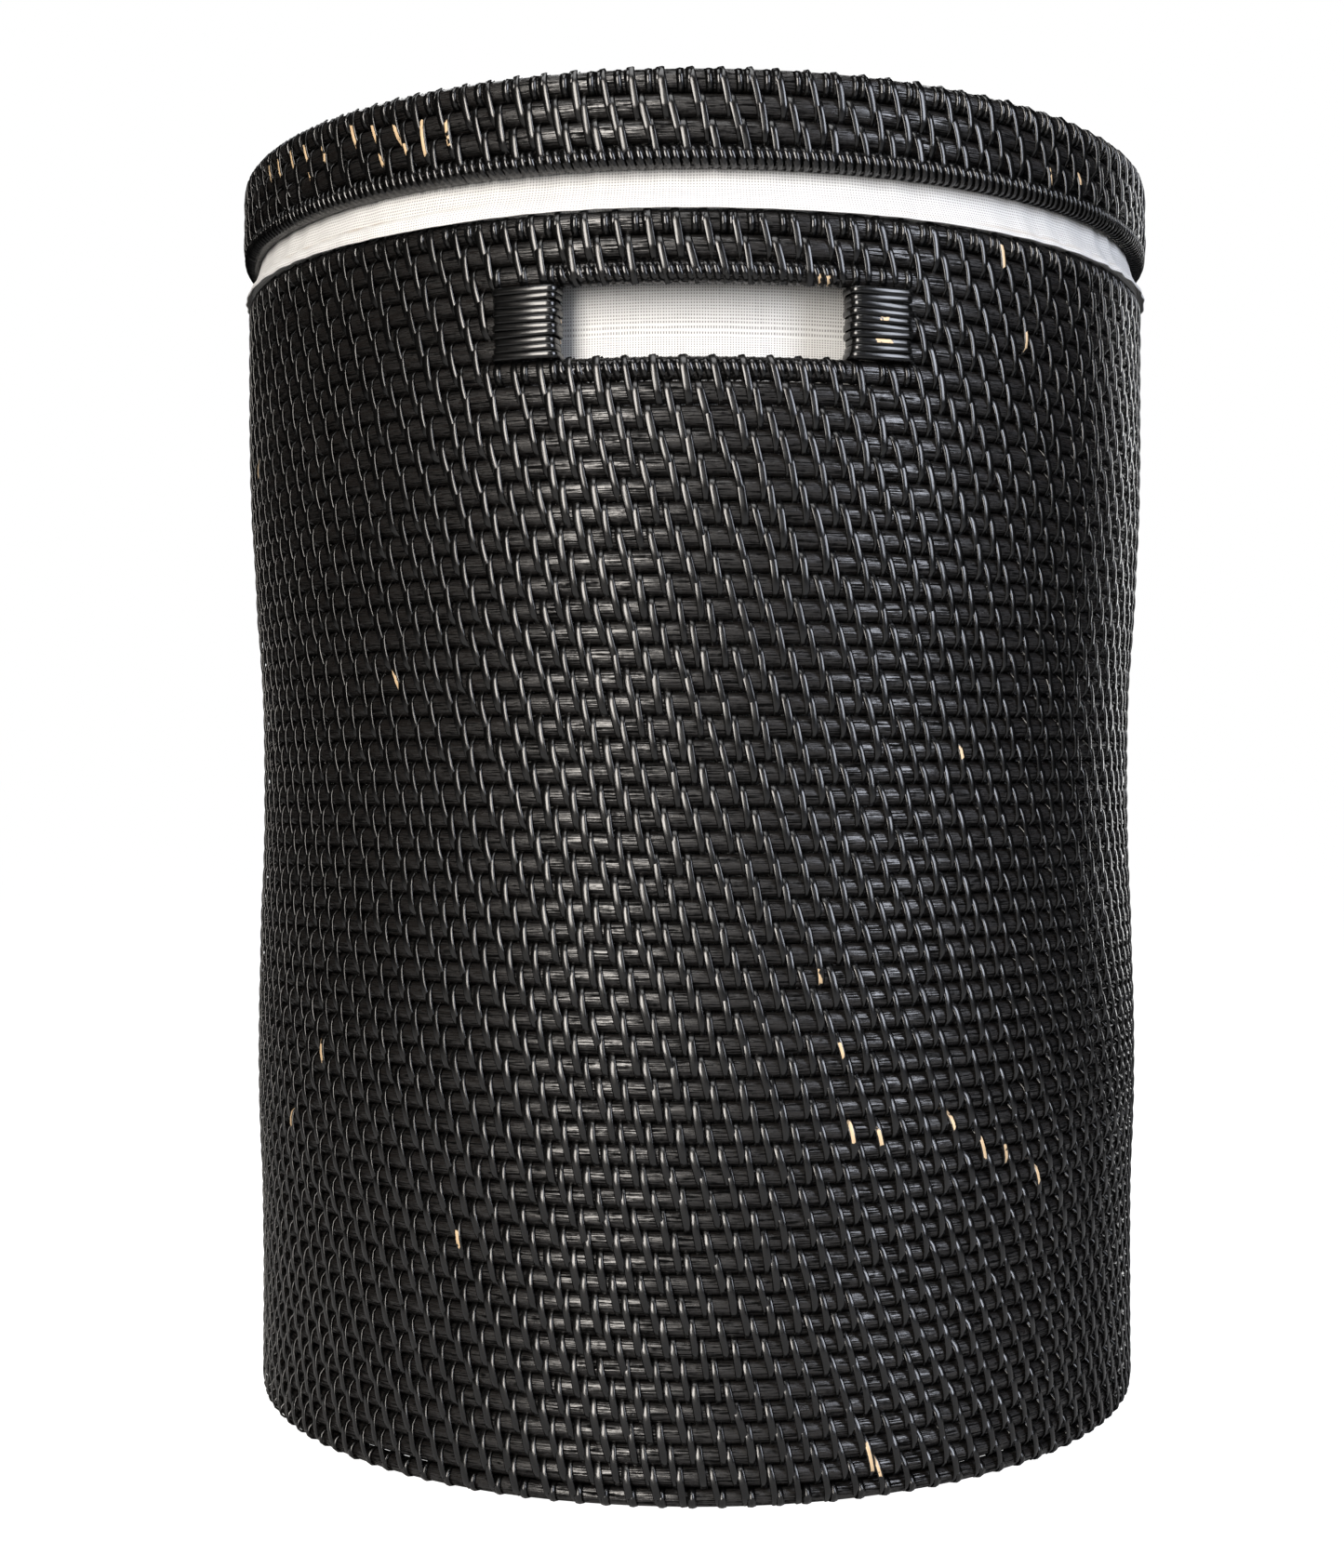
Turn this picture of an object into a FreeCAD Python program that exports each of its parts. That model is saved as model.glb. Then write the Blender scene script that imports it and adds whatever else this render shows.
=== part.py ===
"""Round lidded laundry hamper in coiled rattan, with a cotton liner bag.

Millimetres, +Z up. The origin is the middle of the foot, on the floor. The front handle faces -Y.
The wall is rows of round rattan core, one on another, bound together by a thin strip. Here each
course of rows is one plain tube as thick as the core and its binding; the rows themselves are looks.
"""
import FreeCAD
import Part
import math
import os

# --- Driving dimensions -------------------------------------------------------------------------
WALL_ROWS = 57            # rows of core from the mouth down to the foot
MEAN_PITCH = 9.0          # mean row height
PITCH_SWING = 0.55        # rows are this much higher at the mouth and lower at the foot
WALL_HEIGHT = WALL_ROWS * MEAN_PITCH
WALL_THICK = 9.0          # core plus the binding on each side of it
MOUTH_RADIUS = 214.5      # outside of the wall at the mouth and handles

# Outside of the wall below the handles, (height, radius): a hand-woven wall waves in and out a little
WAIST = [(0.0, 210.0), (85.0, 209.7), (150.0, 211.5), (215.0, 210.3), (287.0, 208.3), (375.0, 212.0)]

RIM_ROWS = 3              # rows above each handle opening, the lowest of which is the grip
OPENING_ROWS = 3          # rows cut away for the opening
UPPER_COURSE_END = 23     # the wall's courses end below these rows
MIDDLE_COURSE_END = 39

OPENING_HALF_ANGLE = 15.65   # degrees either side of the handle's middle
POST_ANGLE = 7.5             # width of the wrapped post at each side of an opening
POST_STANDS_OUT = 2.0        # post's wrapping, proud of the wall on both faces
POST_CHEEK_ANGLE = 1.0       # wrapping between the opening and the ends of the cut rows
POST_ROUNDING = 3.0
WHIPPING_THICK = 0.5         # strip wound closely over the grip row and the sill row

BASE_LOW, BASE_HIGH = 4.0, 13.0   # coiled base disc, a little off the floor

NECK_THICK = 3.0
NECK_TOP = 556.0
NECK_ROUNDING = 1.2       # top edges, so the cotton folds over them without catching
BRADS = 12
BRAD_RADIUS = 0.7
BRAD_HEAD_RADIUS = 1.6
BRAD_HEAD_THICK = 0.6
BRAD_SETBACK = 0.1        # heads are set just under the neck's face
BRAD_LENGTH = 8.0

CLOTH = 1.0               # thickness given to the cotton
CLOTH_GAP = 0.5           # between the cotton and what it hangs on
BAG_TOP_RADIUS = 193.0    # outside of the bag just below the neck
BAG_FOOT_RADIUS = 190.0
BAG_SHOULDER = 10.0       # height over which the bag draws in below the neck
HEM_RADIUS = 4.2          # casing rolled round the elastic
HEM_WALL = 1.0
ELASTIC_RADIUS = 2.6
ELASTIC_PULL = 0.5        # the elastic lies this much to the inside of its casing

LID_RADIUS = 216.6        # outside of the lid's rim
LID_LOW = 528.5
LID_PITCH = 9.8           # row height on the lid
LID_RIM_ROWS = 4          # the lowest of these is the whipped edge
LID_DISC_THICK = 10.0
LID_EDGE_OFFSET = 0.2     # the whipped edge sits this much further out than the rim
LID_ROUNDING = 4.0
LID_HIGH = LID_LOW + LID_PITCH * LID_RIM_ROWS + 0.1

Z = FreeCAD.Vector(0, 0, 1)
ORIGIN = FreeCAD.Vector(0, 0, 0)
FRONT, BACK = -90.0, 90.0      # directions of the two handles, in degrees from +X
REACH = 300.0                  # beyond everything, for cutting tools


# --- Helpers ------------------------------------------------------------------------------------
def row_edge(row):
    """Height of the lower edge of a wall row, counted from the mouth; 0 is the mouth itself."""
    bow = PITCH_SWING * WALL_ROWS / math.pi * math.sin(math.pi * row / WALL_ROWS)
    return WALL_HEIGHT - MEAN_PITCH * row - bow


def point(radius, height):
    return FreeCAD.Vector(radius, 0, height)


def revolve(wire, start=0.0, sweep=360.0):
    """Turn a closed profile in the XZ plane about Z, from a start angle through a sweep."""
    solid = Part.Face(wire).revolve(ORIGIN, Z, sweep)
    solid.rotate(ORIGIN, Z, start)
    return solid


def ring(inner, outer, low, high, start=0.0, sweep=360.0):
    """A tube, or a stretch of one, with a rectangular section."""
    corners = [point(inner, low), point(outer, low), point(outer, high), point(inner, high)]
    return revolve(Part.makePolygon(corners + corners[:1]), start, sweep)


def slab(low, high):
    return Part.makeCylinder(REACH, high - low, FreeCAD.Vector(0, 0, low))


def channel(inner, outer, low, high, wall, open_top, start, sweep):
    """A strip folded over three sides of a rectangular section, open above or below."""
    core_low = low if not open_top else low + wall
    core_high = high if open_top else high - wall
    body = ring(inner, outer, low, high, start, sweep)
    return body.cut(ring(inner + wall, outer - wall, core_low, core_high))


def save(name, shape):
    solid = shape.removeSplitter() if shape.ShapeType != "Compound" else shape
    assert solid.isValid(), name
    solid.exportStep("parts/%s.step" % name)
    print("%-28s %2d solid  %9.1f cm3" % (name, len(solid.Solids), solid.Volume / 1000))


# --- Wall ---------------------------------------------------------------------------------------
def waist_curve(inset):
    """The wall's outline from the foot to the sill row, drawn in by an inset."""
    top = row_edge(RIM_ROWS + OPENING_ROWS + 1)
    points = [point(radius - inset, height) for height, radius in WAIST]
    points.append(point(MOUTH_RADIUS - inset, top))
    curve = Part.BSplineCurve()
    curve.interpolate(Points=points, InitialTangent=Z, FinalTangent=Z)
    return curve.toShape()


def waisted_wall():
    outside, inside = waist_curve(0), waist_curve(WALL_THICK)
    top = row_edge(RIM_ROWS + OPENING_ROWS + 1)
    foot = Part.makeLine(point(WAIST[0][1] - WALL_THICK, 0), point(WAIST[0][1], 0))
    cap = Part.makeLine(point(MOUTH_RADIUS - WALL_THICK, top), point(MOUTH_RADIUS, top))
    return revolve(Part.Wire(Part.__sortEdges__([foot, outside, cap, inside])))


def wall_courses():
    """The three closed courses of the wall, foot to sill."""
    wall = waisted_wall()
    sill_low = row_edge(RIM_ROWS + OPENING_ROWS + 1)
    sill_high = row_edge(RIM_ROWS + OPENING_ROWS)
    sill = ring(MOUTH_RADIUS - WALL_THICK, MOUTH_RADIUS, sill_low, sill_high)
    upper_low, middle_low = row_edge(UPPER_COURSE_END), row_edge(MIDDLE_COURSE_END)
    save("wall_lower_coils", wall.common(slab(0, middle_low)))
    save("wall_middle_coils", wall.common(slab(middle_low, upper_low)))
    save("wall_upper_coils", wall.common(slab(upper_low, sill_low)).fuse(sill))
    return wall


def handle_band():
    """The cut rows between the two handles, the wrapped posts and the whipped rows."""
    inner, outer = MOUTH_RADIUS - WALL_THICK, MOUTH_RADIUS
    low, high = row_edge(RIM_ROWS + OPENING_ROWS), row_edge(RIM_ROWS)
    cut = OPENING_HALF_ANGLE + POST_CHEEK_ANGLE
    for name, middle in (("right", 0.0), ("left", 180.0)):
        half = 90.0 - cut
        save("side_coils_" + name, ring(inner, outer, low, high, middle - half, 2 * half))

    for end, facing in (("front", FRONT), ("back", BACK)):
        for side, sign in (("left", -1), ("right", 1)):
            # the sides are named as seen when facing that handle from outside
            start = facing + sign * OPENING_HALF_ANGLE
            first = min(start, start + sign * POST_ANGLE)
            post = ring(inner - POST_STANDS_OUT, outer + POST_STANDS_OUT, low, high, first, POST_ANGLE)
            at_opening = [e for e in post.Edges if is_opening_edge(e, start)]
            post = post.makeFillet(POST_ROUNDING, at_opening)
            rows = ring(inner, outer, low, high, facing + sign * cut - (sign < 0) * 45.0, 45.0)
            save("handle_post_%s_%s" % (end, side), post.cut(rows))
        opening = (facing - OPENING_HALF_ANGLE, 2 * OPENING_HALF_ANGLE)
        grip = channel(inner - WHIPPING_THICK, outer + WHIPPING_THICK, high - WHIPPING_THICK,
                       row_edge(RIM_ROWS - 1), WHIPPING_THICK, True, *opening)
        sill = channel(inner - WHIPPING_THICK, outer + WHIPPING_THICK,
                       row_edge(RIM_ROWS + OPENING_ROWS + 1), low + WHIPPING_THICK,
                       WHIPPING_THICK, False, *opening)
        save("grip_whipping_" + end, grip)
        save("sill_whipping_" + end, sill)


def is_opening_edge(edge, angle):
    """True for an upright edge that stands at the given angle about Z."""
    a, b = (v.Point for v in edge.Vertexes[:2]) if len(edge.Vertexes) > 1 else (ORIGIN, ORIGIN)
    upright = abs(a.x - b.x) < 1e-6 and abs(a.y - b.y) < 1e-6 and abs(a.z - b.z) > 1
    off = math.degrees(math.atan2(a.y, a.x)) - angle
    return upright and abs((off + 180) % 360 - 180) < 0.01


# --- Neck, which the liner hangs on and the lid caps ----------------------------------------------
def brad_positions():
    height = (row_edge(1) + row_edge(2)) / 2
    for index in range(BRADS):
        angle = math.radians(360.0 / BRADS * (index + 0.5))
        yield FreeCAD.Vector(math.cos(angle), math.sin(angle), 0), height


def brads():
    neck_inner = MOUTH_RADIUS - WALL_THICK - NECK_THICK
    pins = []
    for outward, height in brad_positions():
        start = outward * (neck_inner + BRAD_SETBACK) + FreeCAD.Vector(0, 0, height)
        head = Part.makeCylinder(BRAD_HEAD_RADIUS, BRAD_HEAD_THICK, start, outward)
        pins.append(head.fuse(Part.makeCylinder(BRAD_RADIUS, BRAD_LENGTH, start, outward)))
    return pins


def brad_pockets():
    """What the brads take out of the neck and the rim; the heads' pockets run out through the face."""
    neck_inner = MOUTH_RADIUS - WALL_THICK - NECK_THICK
    pockets = []
    for outward, height in brad_positions():
        mouth = outward * (neck_inner - 1.0) + FreeCAD.Vector(0, 0, height)
        pockets.append(Part.makeCylinder(BRAD_HEAD_RADIUS, 1.0 + BRAD_SETBACK + BRAD_HEAD_THICK,
                                         mouth, outward))
        pockets.append(Part.makeCylinder(BRAD_RADIUS, 1.0 + BRAD_SETBACK + BRAD_LENGTH,
                                         mouth, outward))
    return pockets


def rim_and_neck():
    inner = MOUTH_RADIUS - WALL_THICK
    pockets = brad_pockets()
    rim = ring(inner, MOUTH_RADIUS, row_edge(RIM_ROWS), WALL_HEIGHT)
    neck = ring(inner - NECK_THICK, inner, row_edge(RIM_ROWS - 1) + WHIPPING_THICK, NECK_TOP)
    top_edges = [e for e in neck.Edges if e.BoundBox.ZMin > NECK_TOP - 1e-3]
    neck = neck.makeFillet(NECK_ROUNDING, top_edges)
    save("wall_rim_coils", rim.cut(pockets))
    save("neck_band", neck.cut(pockets))
    save("neck_brads", Part.makeCompound([pin.removeSplitter() for pin in brads()]))


# --- Liner --------------------------------------------------------------------------------------
def liner():
    neck_outer = MOUTH_RADIUS - WALL_THICK
    neck_inner = neck_outer - NECK_THICK
    fold_radius = (neck_outer - neck_inner) / 2 + CLOTH_GAP
    fold_middle = (neck_outer + neck_inner) / 2
    fold_height = NECK_TOP + CLOTH_GAP - fold_radius
    throat = neck_inner - CLOTH_GAP
    shoulder_high = row_edge(RIM_ROWS - 1)
    shoulder_low = shoulder_high - BAG_SHOULDER
    foot = BASE_HIGH + CLOTH_GAP
    hem_height = WALL_HEIGHT + CLOTH_GAP + HEM_RADIUS
    collar = neck_outer + CLOTH_GAP
    hem_middle = collar + HEM_RADIUS + CLOTH_GAP / 2

    def over_neck(radius):
        return Part.Arc(point(fold_middle - radius, fold_height),
                        point(fold_middle, fold_height + radius),
                        point(fold_middle + radius, fold_height)).toShape()

    near = [point(BAG_FOOT_RADIUS, foot), point(BAG_TOP_RADIUS, shoulder_low),
            point(throat, shoulder_high), point(throat, fold_height)]
    far = [p - point(CLOTH, 0) for p in near]
    outline = Part.makePolygon(near).Edges + Part.makePolygon(far).Edges
    outline += [over_neck(fold_radius), over_neck(fold_radius + CLOTH),
                Part.makeLine(point(collar, fold_height), point(collar, hem_height)),
                Part.makeLine(point(collar + CLOTH, fold_height), point(collar + CLOTH, hem_height)),
                Part.makeLine(near[0], far[0]),
                Part.makeLine(point(collar, hem_height), point(collar + CLOTH, hem_height))]
    bag = revolve(Part.Wire(Part.__sortEdges__(outline)))

    hem_outside = Part.makeTorus(hem_middle, HEM_RADIUS)
    hem_outside.translate(FreeCAD.Vector(0, 0, hem_height))
    hem_inside = Part.makeTorus(hem_middle, HEM_RADIUS - HEM_WALL)
    hem_inside.translate(FreeCAD.Vector(0, 0, hem_height))
    elastic = Part.makeTorus(hem_middle - ELASTIC_PULL, ELASTIC_RADIUS)
    elastic.translate(FreeCAD.Vector(0, 0, hem_height))

    collar_cut = bag.cut(hem_outside)
    save("liner_bag", max(collar_cut.Solids, key=lambda s: s.Volume))
    save("liner_hem", hem_outside.cut(hem_inside))
    save("liner_elastic", elastic)
    save("liner_bottom", Part.makeCylinder(BAG_FOOT_RADIUS - CLOTH, CLOTH, FreeCAD.Vector(0, 0, foot)))


# --- Lid ----------------------------------------------------------------------------------------
def lid():
    inner = LID_RADIUS - WALL_THICK
    edge_high = LID_LOW + LID_PITCH
    rim = ring(inner, LID_RADIUS, edge_high, LID_HIGH)
    crown = [e for e in rim.Edges if e.BoundBox.ZMin > LID_HIGH - 1e-3
             and abs(e.BoundBox.XMax - LID_RADIUS) < 0.5]
    save("lid_rim_coils", rim.makeFillet(LID_ROUNDING, crown))
    save("lid_top_coil", Part.makeCylinder(inner, LID_DISC_THICK,
                                           FreeCAD.Vector(0, 0, LID_HIGH - LID_DISC_THICK)))
    edge_middle = inner + WALL_THICK / 2 + LID_EDGE_OFFSET
    edge_height = LID_LOW + LID_PITCH / 2
    core = Part.makeTorus(edge_middle, LID_PITCH / 2 - WHIPPING_THICK)
    wrap = Part.makeTorus(edge_middle, LID_PITCH / 2)
    for shape in (core, wrap):
        shape.translate(FreeCAD.Vector(0, 0, edge_height))
    save("lid_edge_coil", core)
    save("lid_edge_whipping", wrap.cut(core))


# --- Base and export -----------------------------------------------------------------------------
def base(wall):
    disc = Part.makeCylinder(WAIST[0][1] - WALL_THICK / 2, BASE_HIGH - BASE_LOW,
                             FreeCAD.Vector(0, 0, BASE_LOW))
    save("base_coil", disc.cut(wall))


os.makedirs("parts", exist_ok=True)
base(wall_courses())
handle_band()
rim_and_neck()
liner()
lid()
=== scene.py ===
import math

import bpy
import numpy as np
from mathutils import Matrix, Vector


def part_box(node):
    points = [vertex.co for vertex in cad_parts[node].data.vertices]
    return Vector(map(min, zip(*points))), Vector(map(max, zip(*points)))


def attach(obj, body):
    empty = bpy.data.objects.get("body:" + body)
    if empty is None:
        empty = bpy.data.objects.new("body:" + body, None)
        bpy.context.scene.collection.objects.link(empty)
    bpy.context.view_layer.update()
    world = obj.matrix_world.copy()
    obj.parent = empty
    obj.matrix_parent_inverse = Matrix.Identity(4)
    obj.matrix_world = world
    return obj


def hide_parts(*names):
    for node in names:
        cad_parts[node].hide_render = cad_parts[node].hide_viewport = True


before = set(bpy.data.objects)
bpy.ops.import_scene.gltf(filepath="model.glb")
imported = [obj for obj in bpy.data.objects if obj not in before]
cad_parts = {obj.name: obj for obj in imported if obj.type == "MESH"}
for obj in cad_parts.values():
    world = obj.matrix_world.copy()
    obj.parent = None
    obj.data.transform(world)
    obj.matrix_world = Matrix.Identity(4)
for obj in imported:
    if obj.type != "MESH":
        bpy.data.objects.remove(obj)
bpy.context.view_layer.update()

# A lidded laundry hamper of coiled rattan, stained black, with a cotton bag.
# The weave is laid out flat first (x round the basket, y into the wall, z up) and then rolled up.

mm = 0.001
scene = bpy.context.scene
frontAngle = -math.pi / 2  # the front hand opening faces -Y


def addNode(tree, kind, links=None, **settings):
    node = tree.nodes.new(kind)
    for name, value in settings.items():
        setattr(node, name, value)
    for socket, source in (links or {}).items():
        if isinstance(source, bpy.types.Node):
            source = source.outputs[0]
        if isinstance(source, bpy.types.NodeSocket):
            tree.links.new(source, node.inputs[socket])
        else:
            node.inputs[socket].default_value = source
    return node


def drawCurve(node, points):  # points of a Float Curve
    curve = node.mapping.curves[0]
    curve.points[0].location = points[0]
    curve.points[1].location = points[-1]
    for x, y in points[1:-1]:
        curve.points.new(x, y)
    node.mapping.update()
    return node


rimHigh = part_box("wall_rim_coils")[1]
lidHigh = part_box("lid_rim_coils")[1]
discLow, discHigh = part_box("lid_top_coil")
baseLow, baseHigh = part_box("base_coil")

wall = {
    "radius": rimHigh.x,
    "height": rimHigh.z,
    "rows": 57,
    "pitch": 9.0 * mm,
    "swing": 0.55 * mm,  # rows are this much higher at the mouth and lower at the foot
    "thick": 9.0 * mm,
    "stitches": 114,  # strands in each row
    "stepBack": 4.55 * mm,  # a strand starts this far along from the one above it
    "waist": 10.0 * mm,  # how far in from the mouth's radius the outline may go
    # heights and radii in mm
    "outline": [(0, 210.0), (85, 209.7), (150, 211.5), (215, 210.3), (287, 208.3), (375, 212.0),
                (446, 214.5), (513, 214.5)],
    "sway": 0.9 * mm,  # how far the rows wander in and out
    "ripple": 0.9 * mm,  # and up and down
    "openingHalf": math.radians(15.65),
    "postAngle": math.radians(7.5),
    "cheek": math.radians(1.0),
    "openRows": (4, 6),
    "coreDepth": 4.5 * mm,  # middle of a core, in from the mouth's radius
    "crownDepth": -0.25 * mm,  # middle of a strand's thickness where it stands furthest out
    "drift": 1.6 * mm,  # how far neighbouring strands stray sideways together
    "footCore": 0.86,  # thickness of the lowest row, as a share of the others
    "footStrand": 0.93,  # length of the last strands, as a share: they stop short of the floor
}
lid = {
    "radius": lidHigh.x,
    "top": lidHigh.z - 0.1 * mm,
    "pitch": 9.8 * mm,
    "rimRows": 3,
    "stitches": 115,
    "sway": 0.5 * mm,
    "fill": 0.48,  # half thickness of a core as a share of the pitch
    "flatten": 0.87,
    "lastStrand": 0.86,  # length of the lowest strands, as a share of the others
    "lastOut": 0.25 * mm,  # they stand this much further out, over the whipped edge
    "edgeHalf": 4.4 * mm,  # half thickness of the lowest core, under the whipping
    "edgeDepth": 4.3 * mm,
    "edgeHalves": {"Half Depth": 4.35 * mm, "Half Height": 4.5 * mm},
    "edgeSteps": 16,
}
core = {"fill": 0.485, "flatten": 0.91, "steps": 180, "sides": 10}
strand = {"Width": 3.3 * mm, "Rise": 0.9 * mm, "Depth": 3.9 * mm, "Lean": 0.205, "Lean Jitter": 0.07,
          "Steps": 8, "Sides": 6}
insideStrand = {"Width": 3.3 * mm, "Rise": 1.1 * mm, "Depth": 3.2 * mm, "Lean": -0.44, "Lean Jitter": 0.06,
                "Steps": 5, "Sides": 4}
# close turns of flat cane
whipping = {"pitch": 3.65 * mm, "lean": -0.36, "width": 4.0 * mm, "rise": 0.75 * mm}
turnOfStrip = {"Width": 3.2 * mm, "Rise": 1.0 * mm, "Steps": 12, "Sides": 5}


def rowEdge(row):  # lower edge of a row of the wall, counted from the mouth
    bow = wall["swing"] * wall["rows"] / math.pi * math.sin(math.pi * row / wall["rows"])
    return wall["height"] - wall["pitch"] * row - bow


rollSizes = {"Radius": 0.2, "Height": 0.5, "Waist": 0.0, "Sway": 0.0, "Ripple": 0.0}
stripSizes = {"Pitch": 9.0 * mm, "Width": 3.2 * mm, "Rise": 1.2 * mm, "Depth": 3.6 * mm, "Steps": 8,
              "Sides": 6}
placeSizes = {"Around": 0.2, "Count": 114, "Spacing": 11.8 * mm, "Drift": 0.0, "Jitter": 0.0, "Clear": 0.0,
              "Seed": 1}
turnSizes = {"Half Depth": 4.2 * mm, "Half Height": 4.6 * mm, "Width": 3.1 * mm, "Rise": 0.9 * mm,
             "Steps": 12, "Sides": 5}


def startTree(name, sizes):  # a tree with a named input for each size
    tree = bpy.data.node_groups.new(name, "GeometryNodeTree")
    tree.interface.new_socket("Geometry", in_out="OUTPUT", socket_type="NodeSocketGeometry")
    tree.interface.new_socket("Geometry", in_out="INPUT", socket_type="NodeSocketGeometry")
    kinds = {float: "Float", int: "Int", bool: "Bool", type(None): "Material"}
    for label, value in sizes.items():
        socket = tree.interface.new_socket(label, in_out="INPUT",
                                           socket_type="NodeSocket" + kinds[type(value)])
        if value is not None:
            socket.default_value = value
    return tree, addNode(tree, "NodeGroupInput").outputs


def endTree(tree, geometry, material):
    real = addNode(tree, "GeometryNodeRealizeInstances", {0: geometry})
    smooth = addNode(tree, "GeometryNodeSetShadeSmooth", {0: real})
    finished = addNode(tree, "GeometryNodeSetMaterial", {0: smooth, 2: material})
    addNode(tree, "NodeGroupOutput", {0: finished})
    return tree


def ovalOf(tree, corners, across, upward):  # a closed curve with these half sizes
    size = addNode(tree, "ShaderNodeCombineXYZ", {0: across, 1: upward, 2: 1.0})
    circle = addNode(tree, "GeometryNodeCurvePrimitiveCircle", {0: corners, 4: 1.0})
    return addNode(tree, "GeometryNodeTransform", {0: circle, 3: size})


def toneEach(tree, strands):  # each strand gets a tone of its own, then becomes real mesh
    tone = addNode(tree, "FunctionNodeRandomValue", {2: 0.0, 3: 1.0, 8: 5}, data_type="FLOAT").outputs[1]
    toned = addNode(tree, "GeometryNodeStoreNamedAttribute", {0: strands, 2: "tone", 3: tone},
                    data_type="FLOAT", domain="INSTANCE")
    return addNode(tree, "GeometryNodeRealizeInstances", {0: toned})


def passOn(given, sizes, **first):  # links that hand a tree's own inputs to a tree inside it
    return {**first, **{label: given[label] for label in sizes}}


def rollUpTree():  # rolls flat work up round the basket, and lets it wander a little
    tree, given = startTree("rollUp", rollSizes)
    here = addNode(tree, "ShaderNodeSeparateXYZ", {0: addNode(tree, "GeometryNodeInputPosition")}).outputs
    turn = addNode(tree, "ShaderNodeMath", {0: here[0], 1: given["Radius"]}, operation="DIVIDE")
    angle = addNode(tree, "ShaderNodeMath", {0: turn, 1: frontAngle}, operation="ADD")
    level = addNode(tree, "ShaderNodeMath", {0: here[2], 1: given["Height"]}, operation="DIVIDE")
    outline = addNode(tree, "ShaderNodeFloatCurve", {1: level})
    mouth = wall["radius"] / mm
    line = [(z * mm / wall["height"], 1 + (r - mouth) * mm / wall["waist"]) for z, r in wall["outline"]]
    drawCurve(outline, line)
    drawnIn = addNode(tree, "ShaderNodeMath", {0: 1.0, 1: outline}, operation="SUBTRACT")
    inwards = addNode(tree, "ShaderNodeMath", {0: drawnIn, 1: given["Waist"], 2: here[1]},
                      operation="MULTIPLY_ADD")
    radius = addNode(tree, "ShaderNodeMath", {0: given["Radius"], 1: inwards}, operation="SUBTRACT")
    cosine = addNode(tree, "ShaderNodeMath", {0: angle}, operation="COSINE")
    sine = addNode(tree, "ShaderNodeMath", {0: angle}, operation="SINE")
    compass = addNode(tree, "ShaderNodeCombineXYZ", {0: cosine, 1: sine})
    lift = addNode(tree, "ShaderNodeCombineXYZ", {2: here[2]})
    placed = addNode(tree, "ShaderNodeVectorMath", {0: compass, 1: radius, 2: lift},
                     operation="MULTIPLY_ADD")
    uneven = addNode(tree, "ShaderNodeTexNoise", {"Vector": placed, "Scale": 11.0, "Detail": 1.0})
    uneven = addNode(tree, "ShaderNodeVectorMath", {0: uneven.outputs["Color"], 1: (0.5, 0.5, 0.5)},
                     operation="SUBTRACT")
    uneven = addNode(tree, "ShaderNodeSeparateXYZ", {0: uneven}).outputs
    sway = addNode(tree, "ShaderNodeMath", {0: uneven[0], 1: given["Sway"]}, operation="MULTIPLY")
    halfTurn = addNode(tree, "ShaderNodeMath", {0: level, 1: math.pi}, operation="MULTIPLY")
    # rows stay level at foot and mouth
    held = addNode(tree, "ShaderNodeMath", {0: halfTurn}, operation="SINE")
    ripple = addNode(tree, "ShaderNodeMath", {0: uneven[1], 1: given["Ripple"]}, operation="MULTIPLY")
    ripple = addNode(tree, "ShaderNodeMath", {0: ripple, 1: held}, operation="MULTIPLY")
    upDown = addNode(tree, "ShaderNodeCombineXYZ", {2: ripple})
    shift = addNode(tree, "ShaderNodeVectorMath", {0: compass, 1: sway, 2: upDown},
                    operation="MULTIPLY_ADD")
    moved = addNode(tree, "GeometryNodeSetPosition", {0: given["Geometry"], 2: placed, 3: shift})
    addNode(tree, "NodeGroupOutput", {0: moved})
    return tree


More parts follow.
